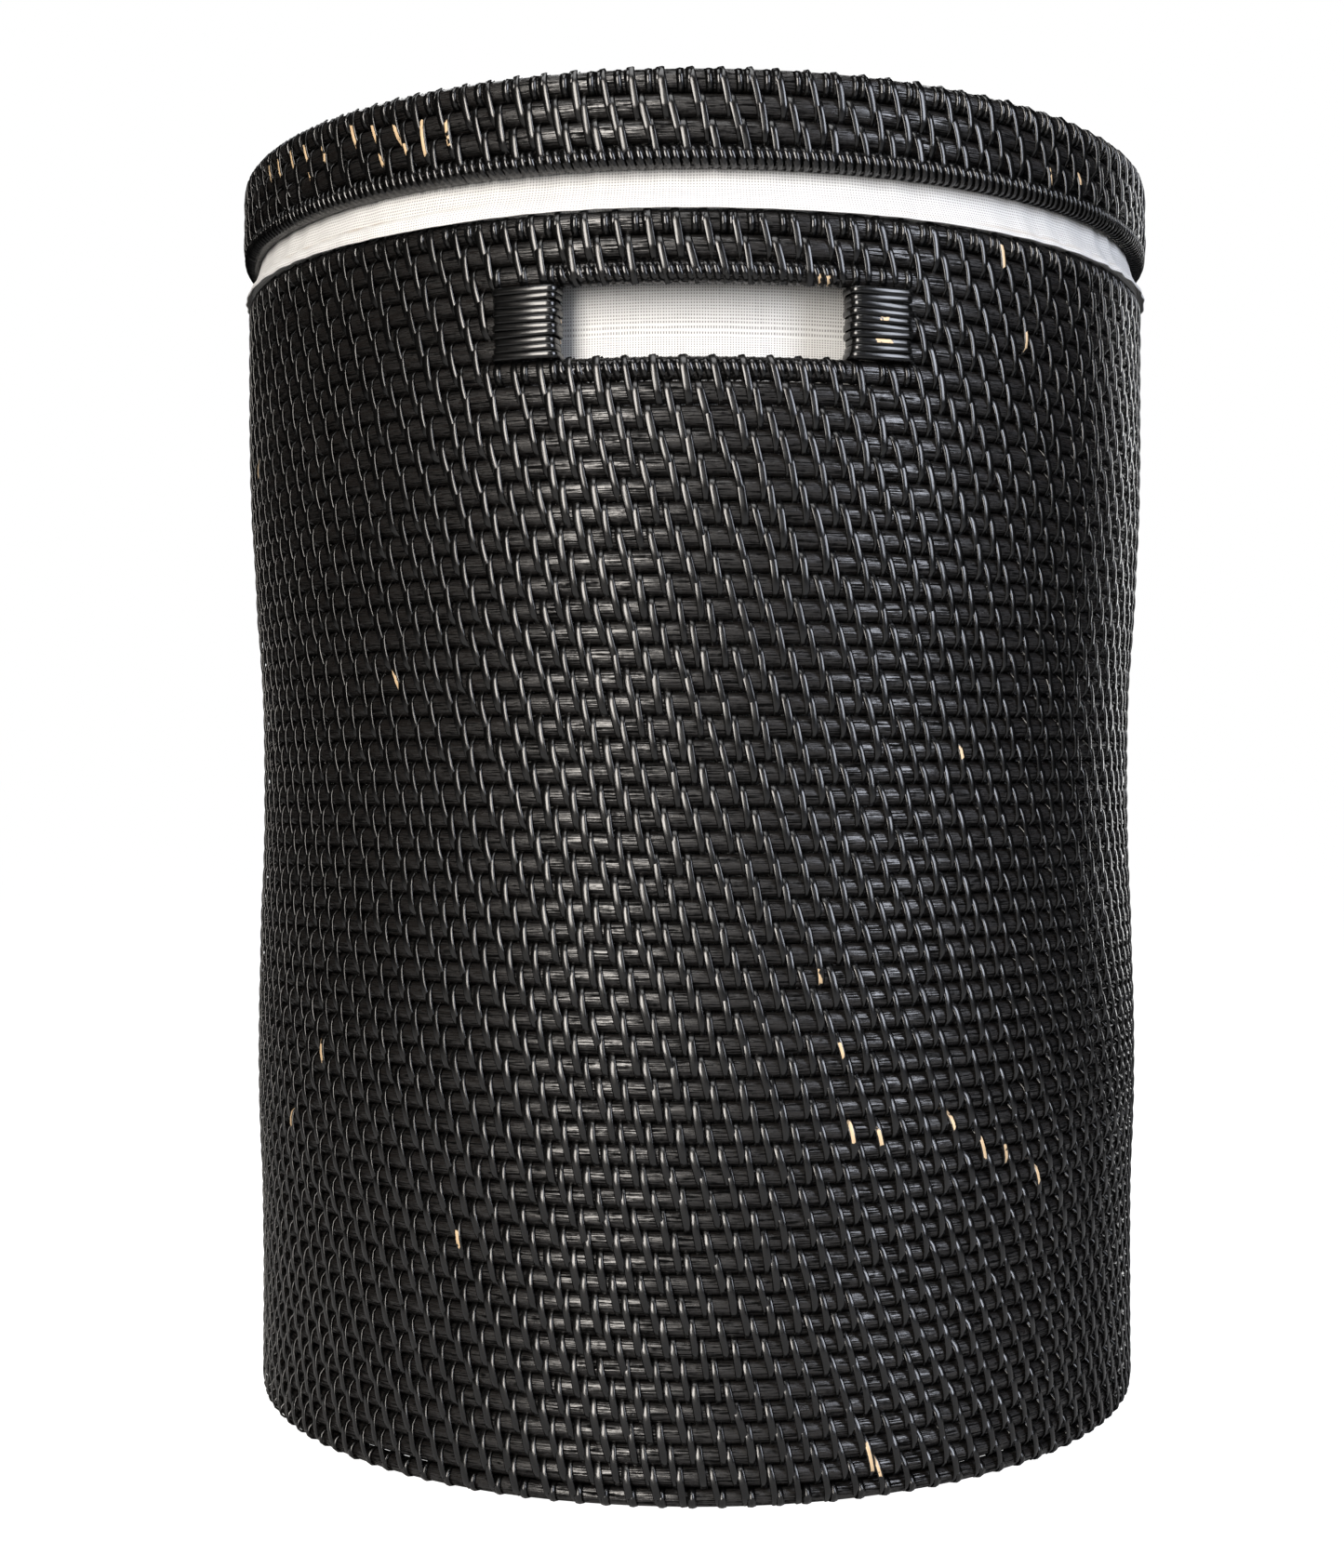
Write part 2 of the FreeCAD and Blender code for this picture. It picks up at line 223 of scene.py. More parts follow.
def stripTree():  # a strand from the groove over one row to the groove under the next; x along, z out
    tree, given = startTree("strip", stripSizes)
    line = addNode(tree, "GeometryNodeCurvePrimitiveLine", {0: (0, 0, 0), 1: (1, 0, 0)})
    path = addNode(tree, "GeometryNodeResampleCurve", {0: line, 2: given["Steps"]})
    share = addNode(tree, "GeometryNodeSplineParameter")
    along = addNode(tree, "ShaderNodeMapRange", {0: share, 3: -0.04, 4: 2.05})
    along = addNode(tree, "ShaderNodeMath", {0: along, 1: given["Pitch"]}, operation="MULTIPLY")
    # springs over two crowns and down into the grooves
    bridge = addNode(tree, "ShaderNodeFloatCurve", {1: share})
    drawCurve(bridge, [(0, 0), (0.06, 0.42), (0.14, 0.72), (0.26, 0.91), (0.42, 1.0), (0.56, 0.985),
                       (0.74, 0.89), (0.86, 0.7), (0.94, 0.4), (1, 0)])
    drop = addNode(tree, "ShaderNodeMath", {0: bridge, 1: 1.0}, operation="SUBTRACT")
    out = addNode(tree, "ShaderNodeMath", {0: drop, 1: given["Depth"]}, operation="MULTIPLY")
    bent = addNode(tree, "ShaderNodeCombineXYZ", {0: along, 2: out})
    path = addNode(tree, "GeometryNodeSetPosition", {0: path, 2: bent})
    path = addNode(tree, "GeometryNodeSetCurveNormal", {0: path}, mode="Z_UP")
    halfWidth = addNode(tree, "ShaderNodeMath", {0: given["Width"], 1: 0.5}, operation="MULTIPLY")
    halfRise = addNode(tree, "ShaderNodeMath", {0: given["Rise"], 1: 0.5}, operation="MULTIPLY")
    squeeze = addNode(tree, "ShaderNodeCombineXYZ", {0: halfWidth, 1: halfRise, 2: 1.0})
    section = addNode(tree, "GeometryNodeCurvePrimitiveCircle", {0: given["Sides"], 4: 1.0})
    spot = addNode(tree, "GeometryNodeInputPosition")
    rim = addNode(tree, "ShaderNodeSeparateXYZ", {0: spot}).outputs
    wide = addNode(tree, "ShaderNodeMath", {0: rim[0]}, operation="ABSOLUTE")
    wide = addNode(tree, "ShaderNodeMath", {0: wide, 1: 0.6}, operation="POWER")
    side = addNode(tree, "ShaderNodeMath", {0: rim[0]}, operation="SIGN")
    wide = addNode(tree, "ShaderNodeMath", {0: wide, 1: side}, operation="MULTIPLY")
    squared = addNode(tree, "ShaderNodeCombineXYZ", {0: wide, 1: rim[1]})  # a flat face with rounded edges
    section = addNode(tree, "GeometryNodeSetPosition", {0: section, 2: squared})
    section = addNode(tree, "GeometryNodeTransform", {0: section, 3: squeeze})
    named = {"data_type": "FLOAT_VECTOR", "domain": "POINT"}
    section = addNode(tree, "GeometryNodeStoreNamedAttribute", {0: section, 2: "grain", 3: spot}, **named)
    swept = addNode(tree, "GeometryNodeCurveToMesh", {0: path, 1: section, 3: True})
    onSection = addNode(tree, "GeometryNodeInputNamedAttribute", {0: "grain"}, data_type="FLOAT_VECTOR")
    spotParts = addNode(tree, "ShaderNodeSeparateXYZ", {0: spot}).outputs
    lengthwise = addNode(tree, "ShaderNodeCombineXYZ", {2: spotParts[0]})
    grain = addNode(tree, "ShaderNodeVectorMath", {0: onSection, 1: lengthwise}, operation="ADD")
    kept = addNode(tree, "GeometryNodeStoreNamedAttribute", {0: swept, 2: "grain", 3: grain}, **named)
    addNode(tree, "NodeGroupOutput", {0: kept})
    return tree


def turnTree():  # one close turn of strip round a core that runs along x
    tree, given = startTree("turnOfStrip", turnSizes)
    path = ovalOf(tree, given["Steps"], given["Half Height"], given["Half Depth"])
    path = addNode(tree, "GeometryNodeSetCurveNormal", {0: path}, mode="Z_UP")
    halfWidth = addNode(tree, "ShaderNodeMath", {0: given["Width"], 1: 0.5}, operation="MULTIPLY")
    halfRise = addNode(tree, "ShaderNodeMath", {0: given["Rise"], 1: 0.5}, operation="MULTIPLY")
    section = ovalOf(tree, given["Sides"], halfRise, halfWidth)
    swept = addNode(tree, "GeometryNodeCurveToMesh", {0: path, 1: section})
    spot = addNode(tree, "ShaderNodeSeparateXYZ", {0: addNode(tree, "GeometryNodeInputPosition")}).outputs
    grain = addNode(tree, "ShaderNodeCombineXYZ", {0: spot[2], 1: given["Rise"], 2: spot[0]})
    kept = addNode(tree, "GeometryNodeStoreNamedAttribute", {0: swept, 2: "grain", 3: grain},
                   data_type="FLOAT_VECTOR", domain="POINT")
    stood = addNode(tree, "GeometryNodeTransform", {0: kept, 2: (0, math.pi / 2, 0)})
    addNode(tree, "NodeGroupOutput", {0: stood})
    return tree


def coreTree():  # rows of core: a guide point starts each row and says how long and how thick it is
    sizes = {**rollSizes, "Flatten": 0.9, "Steps": 180, "Sides": 10, "Capped": False, "Material": None}
    tree, given = startTree("coreRows", sizes)
    line = addNode(tree, "GeometryNodeCurvePrimitiveLine", {0: (0, 0, 0), 1: (1, 0, 0)})
    line = addNode(tree, "GeometryNodeResampleCurve", {0: line, 2: given["Steps"]})
    reach = addNode(tree, "GeometryNodeInputNamedAttribute", {0: "reach"}, data_type="FLOAT")
    stretch = addNode(tree, "ShaderNodeCombineXYZ", {0: reach, 1: 1.0, 2: 1.0})
    rows = addNode(tree, "GeometryNodeInstanceOnPoints", {0: given["Geometry"], 2: line, 6: stretch})
    rows = addNode(tree, "GeometryNodeRealizeInstances", {0: rows})
    rows = addNode(tree, "GeometryNodeSetCurveNormal", {0: rows}, mode="Z_UP")
    half = addNode(tree, "GeometryNodeInputNamedAttribute", {0: "half"}, data_type="FLOAT")
    section = ovalOf(tree, given["Sides"], given["Flatten"], 1.0)
    swept = addNode(tree, "GeometryNodeCurveToMesh", {0: rows, 1: section, 2: half, 3: given["Capped"]})
    rolled = addNode(tree, "GeometryNodeGroup", passOn(given, rollSizes, Geometry=swept),
                     node_tree=trees["rollUp"])
    joined = addNode(tree, "GeometryNodeMergeByDistance", {0: rolled, 2: 0.02 * mm})
    return endTree(tree, joined, given["Material"])


def placesTree():  # evenly spaced places along rows, each row started by a guide point
    tree, given = startTree("places", placeSizes)
    stepOver = addNode(tree, "ShaderNodeCombineXYZ", {0: given["Spacing"]})
    row = addNode(tree, "GeometryNodeMeshLine", {0: given["Count"], 3: stepOver})
    places = addNode(tree, "GeometryNodeInstanceOnPoints", {0: given["Geometry"], 2: row})
    places = addNode(tree, "GeometryNodeRealizeInstances", {0: places})
    here = addNode(tree, "ShaderNodeSeparateXYZ", {0: addNode(tree, "GeometryNodeInputPosition")}).outputs
    turn = addNode(tree, "ShaderNodeMath", {0: here[0], 1: given["Around"]}, operation="DIVIDE")
    cosine = addNode(tree, "ShaderNodeMath", {0: turn}, operation="COSINE")
    sine = addNode(tree, "ShaderNodeMath", {0: turn}, operation="SINE")
    tall = addNode(tree, "ShaderNodeMath", {0: here[2], 1: 5.0}, operation="MULTIPLY")
    onDrum = addNode(tree, "ShaderNodeCombineXYZ", {0: cosine, 1: sine, 2: tall})
    slow = addNode(tree, "ShaderNodeTexNoise", {"Vector": onDrum, "Scale": 5.0, "Detail": 1.0})
    drift = addNode(tree, "ShaderNodeMapRange", {0: slow, 1: 0.25, 2: 0.75, 3: -1.0, 4: 1.0})
    # alike on neighbouring rows
    drift = addNode(tree, "ShaderNodeMath", {0: drift, 1: given["Drift"]}, operation="MULTIPLY")
    chance = addNode(tree, "FunctionNodeRandomValue", {2: -1.0, 3: 1.0, 8: given["Seed"]},
                     data_type="FLOAT").outputs[1]
    sideways = addNode(tree, "ShaderNodeMath", {0: chance, 1: given["Jitter"], 2: drift},
                       operation="MULTIPLY_ADD")
    sideways = addNode(tree, "ShaderNodeCombineXYZ", {0: sideways})
    moved = addNode(tree, "GeometryNodeSetPosition", {0: places, 3: sideways})
    # nothing crosses a hand opening: the two openings are half a turn apart
    quarter = addNode(tree, "ShaderNodeMath", {0: given["Around"], 1: math.pi / 2}, operation="MULTIPLY")
    minus = addNode(tree, "ShaderNodeMath", {0: given["Around"], 1: -math.pi / 2}, operation="MULTIPLY")
    fromHandle = addNode(tree, "ShaderNodeMath", {0: here[0], 1: quarter, 2: minus}, operation="WRAP")
    fromHandle = addNode(tree, "ShaderNodeMath", {0: fromHandle}, operation="ABSOLUTE")
    crossing = addNode(tree, "FunctionNodeCompare", {0: fromHandle, 1: given["Clear"]}, data_type="FLOAT",
                       operation="LESS_THAN")
    kept = addNode(tree, "GeometryNodeDeleteGeometry", {0: moved, 1: crossing}, domain="POINT")
    addNode(tree, "NodeGroupOutput", {0: kept})
    return tree


def strandTree():  # rows of binding, each strand over two rows of core
    sizes = {**rollSizes, **placeSizes, **stripSizes, "Lean": 0.2, "Lean Jitter": 0.07, "Facing": -1.0,
             "Material": None}
    tree, given = startTree("strandRows", sizes)
    places = addNode(tree, "GeometryNodeGroup", passOn(given, placeSizes, Geometry=given["Geometry"]),
                     node_tree=trees["places"])
    strip = addNode(tree, "GeometryNodeGroup", passOn(given, stripSizes), node_tree=trees["strip"])
    outward = addNode(tree, "ShaderNodeCombineXYZ", {1: given["Facing"]})
    lay = addNode(tree, "FunctionNodeAxesToRotation", {0: (0, 0, -1), 1: outward}, primary_axis="X",
                  secondary_axis="Z")
    chance = addNode(tree, "FunctionNodeRandomValue", {2: -1.0, 3: 1.0, 8: 7}, data_type="FLOAT").outputs[1]
    lean = addNode(tree, "ShaderNodeMath", {0: chance, 1: given["Lean Jitter"], 2: given["Lean"]},
                   operation="MULTIPLY_ADD")
    lean = addNode(tree, "ShaderNodeCombineXYZ", {2: lean})
    lean = addNode(tree, "FunctionNodeEulerToRotation", {0: lean})
    lay = addNode(tree, "FunctionNodeRotateRotation", {0: lay, 1: lean}, rotation_space="LOCAL")
    thick = addNode(tree, "FunctionNodeRandomValue", {0: (0, 0.86, 0.85), 1: (0, 1.12, 1.18), 8: 3},
                    data_type="FLOAT_VECTOR").outputs[0]
    rowHeight = addNode(tree, "GeometryNodeInputNamedAttribute", {0: "rowHeight"}, data_type="FLOAT")
    tall = addNode(tree, "ShaderNodeMath", {0: rowHeight, 1: given["Pitch"]}, operation="DIVIDE")
    tall = addNode(tree, "ShaderNodeCombineXYZ", {0: tall})
    size = addNode(tree, "ShaderNodeVectorMath", {0: thick, 1: tall}, operation="ADD")
    strands = addNode(tree, "GeometryNodeInstanceOnPoints", {0: places, 2: strip, 5: lay, 6: size})
    strands = toneEach(tree, strands)
    rolled = addNode(tree, "GeometryNodeGroup", passOn(given, rollSizes, Geometry=strands),
                     node_tree=trees["rollUp"])
    return endTree(tree, rolled, given["Material"])


def whippingTree():  # turns of strip about rows of core, each place at the middle of its core
    sizes = {**rollSizes, **placeSizes, **turnSizes, "Lean": 0.15, "Material": None}
    tree, given = startTree("whipping", sizes)
    places = addNode(tree, "GeometryNodeGroup", passOn(given, placeSizes, Geometry=given["Geometry"]),
                     node_tree=trees["places"])
    turn = addNode(tree, "GeometryNodeGroup", passOn(given, turnSizes), node_tree=trees["turn"])
    chance = addNode(tree, "FunctionNodeRandomValue", {2: -0.05, 3: 0.05, 8: 4},
                     data_type="FLOAT").outputs[1]
    lean = addNode(tree, "ShaderNodeMath", {0: chance, 1: given["Lean"]}, operation="ADD")
    tilt = addNode(tree, "ShaderNodeCombineXYZ", {1: lean})
    tilt = addNode(tree, "FunctionNodeEulerToRotation", {0: tilt})
    size = addNode(tree, "FunctionNodeRandomValue", {0: (0.95, 0.985, 0.985), 1: (1.12, 1.02, 1.02), 8: 6},
                   data_type="FLOAT_VECTOR").outputs[0]
    turns = addNode(tree, "GeometryNodeInstanceOnPoints", {0: places, 2: turn, 5: tilt, 6: size})
    turns = toneEach(tree, turns)
    rolled = addNode(tree, "GeometryNodeGroup", passOn(given, rollSizes, Geometry=turns),
                     node_tree=trees["rollUp"])
    return endTree(tree, rolled, given["Material"])


def postTree():  # loops of strip round a block: a guide point is the middle of each loop
    sizes = {**rollSizes, "Breadth": 28.0 * mm, "Depth": 11.0 * mm, "Rounding": 3.5 * mm,
             "Width": 3.1 * mm, "Rise": 1.3 * mm, "Material": None}
    tree, given = startTree("postTurns", sizes)
    loop = addNode(tree, "GeometryNodeCurvePrimitiveQuadrilateral",
                   {0: given["Breadth"], 1: given["Depth"]})
    loop = addNode(tree, "GeometryNodeFilletCurve", {0: loop, 1: 3, 2: given["Rounding"], 3: True},
                   mode="POLY")
    loop = addNode(tree, "GeometryNodeSubdivideCurve", {0: loop, 1: 1})
    loop = addNode(tree, "GeometryNodeSetCurveNormal", {0: loop}, mode="Z_UP")
    halfWidth = addNode(tree, "ShaderNodeMath", {0: given["Width"], 1: 0.5}, operation="MULTIPLY")
    halfRise = addNode(tree, "ShaderNodeMath", {0: given["Rise"], 1: 0.5}, operation="MULTIPLY")
    section = ovalOf(tree, 8, halfRise, halfWidth)
    swept = addNode(tree, "GeometryNodeCurveToMesh", {0: loop, 1: section})
    spot = addNode(tree, "ShaderNodeSeparateXYZ", {0: addNode(tree, "GeometryNodeInputPosition")}).outputs
    grain = addNode(tree, "ShaderNodeCombineXYZ", {0: spot[2], 1: spot[1], 2: spot[0]})
    swept = addNode(tree, "GeometryNodeStoreNamedAttribute", {0: swept, 2: "grain", 3: grain},
                    data_type="FLOAT_VECTOR", domain="POINT")
    tilt = addNode(tree, "FunctionNodeRandomValue", {0: (-0.02, -0.035, 0), 1: (0.02, 0.035, 0), 8: 9},
                   data_type="FLOAT_VECTOR").outputs[0]
    tilt = addNode(tree, "FunctionNodeEulerToRotation", {0: tilt})
    size = addNode(tree, "FunctionNodeRandomValue", {0: (0.94, 0.98, 0.94), 1: (1.03, 1.06, 1.08), 8: 6},
                   data_type="FLOAT_VECTOR").outputs[0]
    turns = addNode(tree, "GeometryNodeInstanceOnPoints",
                    {0: given["Geometry"], 2: swept, 5: tilt, 6: size})
    turns = toneEach(tree, turns)
    rolled = addNode(tree, "GeometryNodeGroup", passOn(given, rollSizes, Geometry=turns),
                     node_tree=trees["rollUp"])
    return endTree(tree, rolled, given["Material"])


def ringsOf(tree, given):  # circles for a flat coil: a guide point gives each ring's radius and turn
    circle = addNode(tree, "GeometryNodeCurvePrimitiveCircle", {0: given["Steps Round"], 4: 1.0})
    radius = addNode(tree, "GeometryNodeInputNamedAttribute", {0: "ring"}, data_type="FLOAT")
    across = addNode(tree, "ShaderNodeCombineXYZ", {0: radius, 1: radius, 2: 1.0})
    phase = addNode(tree, "GeometryNodeInputNamedAttribute", {0: "phase"}, data_type="FLOAT")
    turned = addNode(tree, "ShaderNodeCombineXYZ", {2: phase})
    turned = addNode(tree, "FunctionNodeEulerToRotation", {0: turned})
    rings = addNode(tree, "GeometryNodeInstanceOnPoints",
                    {0: given["Geometry"], 2: circle, 5: turned, 6: across})
    return addNode(tree, "GeometryNodeRealizeInstances", {0: rings})


def flatCoreTree():  # rings of core side by side
    sizes = {"Steps Round": 120, "Half Width": 4.5 * mm, "Half Height": 4.2 * mm, "Sides": 10,
             "Material": None}
    tree, given = startTree("flatCoil", sizes)
    rings = addNode(tree, "GeometryNodeSetCurveNormal", {0: ringsOf(tree, given)}, mode="Z_UP")
    section = ovalOf(tree, given["Sides"], given["Half Width"], given["Half Height"])
    swept = addNode(tree, "GeometryNodeCurveToMesh", {0: rings, 1: section})
    return endTree(tree, swept, given["Material"])


def flatStrandTree():  # binding on the face of a flat coil, from each ring in over the next
    sizes = {**stripSizes, "Steps Round": 120, "Spacing": 11.6 * mm, "Level": 0.0, "Facing": 1.0,
             "Lean": 0.2, "Lean Jitter": 0.08, "Seed": 1, "Material": None}
    tree, given = startTree("flatBinding", sizes)
    rings = addNode(tree, "GeometryNodeResampleCurve", {0: ringsOf(tree, given), 3: given["Spacing"]},
                    mode="LENGTH")
    starts = addNode(tree, "GeometryNodeCurveToPoints", {0: rings}, mode="EVALUATED")
    here = addNode(tree, "GeometryNodeInputPosition")
    inward = addNode(tree, "ShaderNodeVectorMath", {0: here, 1: (-1, -1, 0)}, operation="MULTIPLY")
    outward = addNode(tree, "ShaderNodeCombineXYZ", {2: given["Facing"]})
    lay = addNode(tree, "FunctionNodeAxesToRotation", {0: inward, 1: outward}, primary_axis="X",
                  secondary_axis="Z")
    chance = addNode(tree, "FunctionNodeRandomValue", {2: -1.0, 3: 1.0, 8: given["Seed"]},
                     data_type="FLOAT").outputs[1]
    lean = addNode(tree, "ShaderNodeMath", {0: chance, 1: given["Lean Jitter"], 2: given["Lean"]},
                   operation="MULTIPLY_ADD")
    lean = addNode(tree, "ShaderNodeCombineXYZ", {2: lean})
    lean = addNode(tree, "FunctionNodeEulerToRotation", {0: lean})
    lay = addNode(tree, "FunctionNodeRotateRotation", {0: lay, 1: lean}, rotation_space="LOCAL")
    strip = addNode(tree, "GeometryNodeGroup", passOn(given, stripSizes), node_tree=trees["strip"])
    size = addNode(tree, "FunctionNodeRandomValue", {0: (1, 0.86, 0.85), 1: (1, 1.1, 1.15), 8: 3},
                   data_type="FLOAT_VECTOR").outputs[0]
    strands = addNode(tree, "GeometryNodeInstanceOnPoints", {0: starts, 2: strip, 5: lay, 6: size})
    strands = toneEach(tree, strands)
    lift = addNode(tree, "ShaderNodeCombineXYZ", {2: given["Level"]})
    placed = addNode(tree, "GeometryNodeSetPosition", {0: strands, 3: lift})
    return endTree(tree, placed, given["Material"])


treeMakers = {
    "rollUp": rollUpTree,
    "strip": stripTree,
    "turn": turnTree,
    "places": placesTree,
    "core": coreTree,
    "strand": strandTree,
    "whipping": whippingTree,
    "post": postTree,
    "flatCore": flatCoreTree,
    "flatStrand": flatStrandTree,
}
trees = {}  # filled in order, because the later ones hold the earlier ones
for label, makeTree in treeMakers.items():
    trees[label] = makeTree()


def guide(places, **columns):  # the points that a tree starts from
    mesh = bpy.data.meshes.new("guide")
    mesh.from_pydata(places, [], [])
    for label, values in columns.items():
        mesh.attributes.new(label, "FLOAT", "POINT").data.foreach_set("value", values)
    return mesh


def grow(name, treeName, guideMesh, sizes):  # runs a tree and keeps what it makes as a plain mesh
    piece = bpy.data.objects.new(name, guideMesh)
    scene.collection.objects.link(piece)
    modifier = piece.modifiers.new(treeName, "NODES")
    modifier.node_group = trees[treeName]
    for item in trees[treeName].interface.items_tree:
        if item.in_out == "INPUT" and item.name in sizes:
            modifier[item.identifier] = sizes[item.name]
    bpy.context.view_layer.update()
    grown = piece.evaluated_get(bpy.context.evaluated_depsgraph_get())
    mesh = bpy.data.meshes.new_from_object(grown)
    mesh.name = name
    piece.modifiers.remove(modifier)
    piece.data = mesh
    bpy.data.meshes.remove(guideMesh)
    return piece


# rubs one strand at each spot (angle from the front, height and length in mm)
def markWear(piece, spots, corners):
    count = len(piece.data.vertices)
    places = np.empty(count * 3)
    piece.data.vertices.foreach_get("co", places)
    places = places.reshape(-1, corners, 3)
    angles = np.arctan2(places[..., 1], places[..., 0]) - frontAngle
    outFrom = np.hypot(places[..., 0], places[..., 1])
    worn = np.zeros(places.shape[:2])
    for degrees, height, length in spots:
        turn = (angles - math.radians(degrees) + math.pi) % (2 * math.pi) - math.pi
        away = np.hypot(turn * outFrom, places[..., 2] - height * mm)
        strandNumber = np.argmin(away.mean(axis=1))
        further = away[strandNumber] - away[strandNumber].min()
        worn[strandNumber] = np.maximum(worn[strandNumber], np.clip(1.6 - further / (length * mm), 0, 1))
    piece.data.attributes.new("worn", "FLOAT", "POINT").data.foreach_set("value", worn.ravel())


# materials

def linear(code):  # an sRGB hex colour in linear light
    parts = [int(code[i:i + 2], 16) / 255 for i in (1, 3, 5)]
    return tuple(c / 12.92 if c <= 0.04045 else ((c + 0.055) / 1.055) ** 2.4 for c in parts) + (1.0,)


def startMaterial(name, **sockets):
    material = bpy.data.materials.new(name)
    material.use_nodes = True
    tree = material.node_tree
    tree.nodes.clear()
    shader = addNode(tree, "ShaderNodeBsdfPrincipled", sockets)
    addNode(tree, "ShaderNodeOutputMaterial", {"Surface": shader})
    return material, tree, shader


# rattan core, stained black: open-grained wood whose fibres break the light into fine streaks
def stainedCore(name):
    material, tree, shader = startMaterial(name, **{"IOR": 1.5, "Specular IOR Level": 0.3})
    fibre = 0.55 * mm
    place = addNode(tree, "ShaderNodeTexCoord").outputs["Object"]
    parts = addNode(tree, "ShaderNodeSeparateXYZ", {0: place}).outputs
    flat = addNode(tree, "ShaderNodeCombineXYZ", {0: parts[0], 1: parts[1]})
    radius = addNode(tree, "ShaderNodeVectorMath", {0: flat}, operation="LENGTH").outputs["Value"]
    finer = addNode(tree, "ShaderNodeMath", {0: radius, 1: 1.0 / fibre}, operation="MULTIPLY")
    drawn = addNode(tree, "ShaderNodeVectorMath", {0: place, 1: (1 / (14 * mm), 1 / (14 * mm), 1 / fibre)},
                    operation="MULTIPLY")
    fibres = addNode(tree, "ShaderNodeTexNoise",
                     {"Vector": drawn, "W": finer, "Scale": 1.0, "Detail": 2.0, "Roughness": 0.55},
                     noise_dimensions="4D")
    crumbs = addNode(tree, "ShaderNodeTexNoise",
                     {"Vector": place, "Scale": 1 / (2.2 * mm), "Detail": 2.0, "Roughness": 0.7})
    mixed = addNode(tree, "ShaderNodeMath", {0: crumbs, 1: 0.25, 2: fibres}, operation="MULTIPLY_ADD")
    streaks = addNode(tree, "ShaderNodeMapRange", {0: mixed, 1: 0.52, 2: 0.68})
    broad = addNode(tree, "ShaderNodeTexNoise", {"Vector": place, "Scale": 45.0, "Detail": 2.0})
    colour = addNode(tree, "ShaderNodeMix", {0: streaks, 6: linear("#020202"), 7: linear("#12100f")},
                     data_type="RGBA")
    polish = addNode(tree, "ShaderNodeMapRange", {0: streaks, 3: 0.8, 4: 0.17})
    polish = addNode(tree, "ShaderNodeMath", {0: broad, 1: 0.12, 2: polish}, operation="MULTIPLY_ADD")
    shine = addNode(tree, "ShaderNodeMapRange", {0: streaks, 3: 0.05, 4: 0.65})
    bump = addNode(tree, "ShaderNodeBump", {"Strength": 1.0, "Distance": 0.32 * mm, "Height": fibres})
    tree.links.new(colour.outputs[2], shader.inputs["Base Color"])
    tree.links.new(shine.outputs[0], shader.inputs["Specular IOR Level"])
    tree.links.new(polish.outputs[0], shader.inputs["Roughness"])
    tree.links.new(bump.outputs[0], shader.inputs["Normal"])
    return material


# peeled cane, stained black: a hard skin with long clean highlights, tan where it is rubbed
def stainedCane(name, gloss):
    material, tree, shader = startMaterial(name, **{"IOR": 1.52, "Specular IOR Level": 0.6})
    grain = addNode(tree, "ShaderNodeAttribute", attribute_name="grain").outputs["Vector"]
    tone = addNode(tree, "ShaderNodeAttribute", attribute_name="tone").outputs["Fac"]
    worn = addNode(tree, "ShaderNodeAttribute", attribute_name="worn").outputs["Fac"]
    place = addNode(tree, "ShaderNodeTexCoord").outputs["Object"]
    drawn = addNode(tree, "ShaderNodeVectorMath",
                    {0: grain, 1: (1 / (0.5 * mm), 1 / (0.5 * mm), 1 / (9 * mm))}, operation="MULTIPLY")
    each = addNode(tree, "ShaderNodeMath", {0: tone, 1: 37.0}, operation="MULTIPLY")
    fibres = addNode(tree, "ShaderNodeTexNoise", {"Vector": drawn, "W": each, "Scale": 1.0, "Detail": 2.0},
                     noise_dimensions="4D")
    dark = addNode(tree, "ShaderNodeMix", {0: tone, 6: linear("#020202"), 7: linear("#080808")},
                   data_type="RGBA").outputs[2]
    pale = addNode(tree, "ShaderNodeMix", {0: fibres, 6: linear("#96764f"), 7: linear("#dcc6a4")},
                   data_type="RGBA").outputs[2]
    patchy = addNode(tree, "ShaderNodeTexNoise",
                     {"Vector": place, "Scale": 330.0, "Detail": 2.0, "Roughness": 0.6})
    rubbed = addNode(tree, "ShaderNodeMath", {0: patchy, 1: 1.25, 2: worn}, operation="MULTIPLY_ADD")
    rubbed = addNode(tree, "ShaderNodeMapRange", {0: rubbed, 1: 1.3, 2: 1.4})
    across = addNode(tree, "ShaderNodeSeparateXYZ", {0: grain}).outputs[0]
    # rubbed along its crown
    ridge = addNode(tree, "ShaderNodeMath", {0: across, 1: 0.2 * mm, 2: 0.75 * mm}, operation="COMPARE")
    touched = addNode(tree, "ShaderNodeMath", {0: worn, 1: 0.01}, operation="GREATER_THAN")
    touched = addNode(tree, "ShaderNodeMath", {0: touched, 1: ridge}, operation="MULTIPLY")
    rubbed = addNode(tree, "ShaderNodeMath", {0: rubbed, 1: touched}, operation="MULTIPLY")
    colour = addNode(tree, "ShaderNodeMix", {0: rubbed, 6: dark, 7: pale}, data_type="RGBA")
    polish = addNode(tree, "ShaderNodeMath", {0: fibres, 1: 0.2, 2: gloss}, operation="MULTIPLY_ADD")
    polish = addNode(tree, "ShaderNodeMath", {0: rubbed, 1: 0.3, 2: polish}, operation="MULTIPLY_ADD")
    bump = addNode(tree, "ShaderNodeBump", {"Strength": 0.35, "Distance": 0.12 * mm, "Height": fibres})
    tree.links.new(colour.outputs[2], shader.inputs["Base Color"])
    tree.links.new(polish.outputs[0], shader.inputs["Roughness"])
    tree.links.new(bump.outputs[0], shader.inputs["Normal"])
    return material


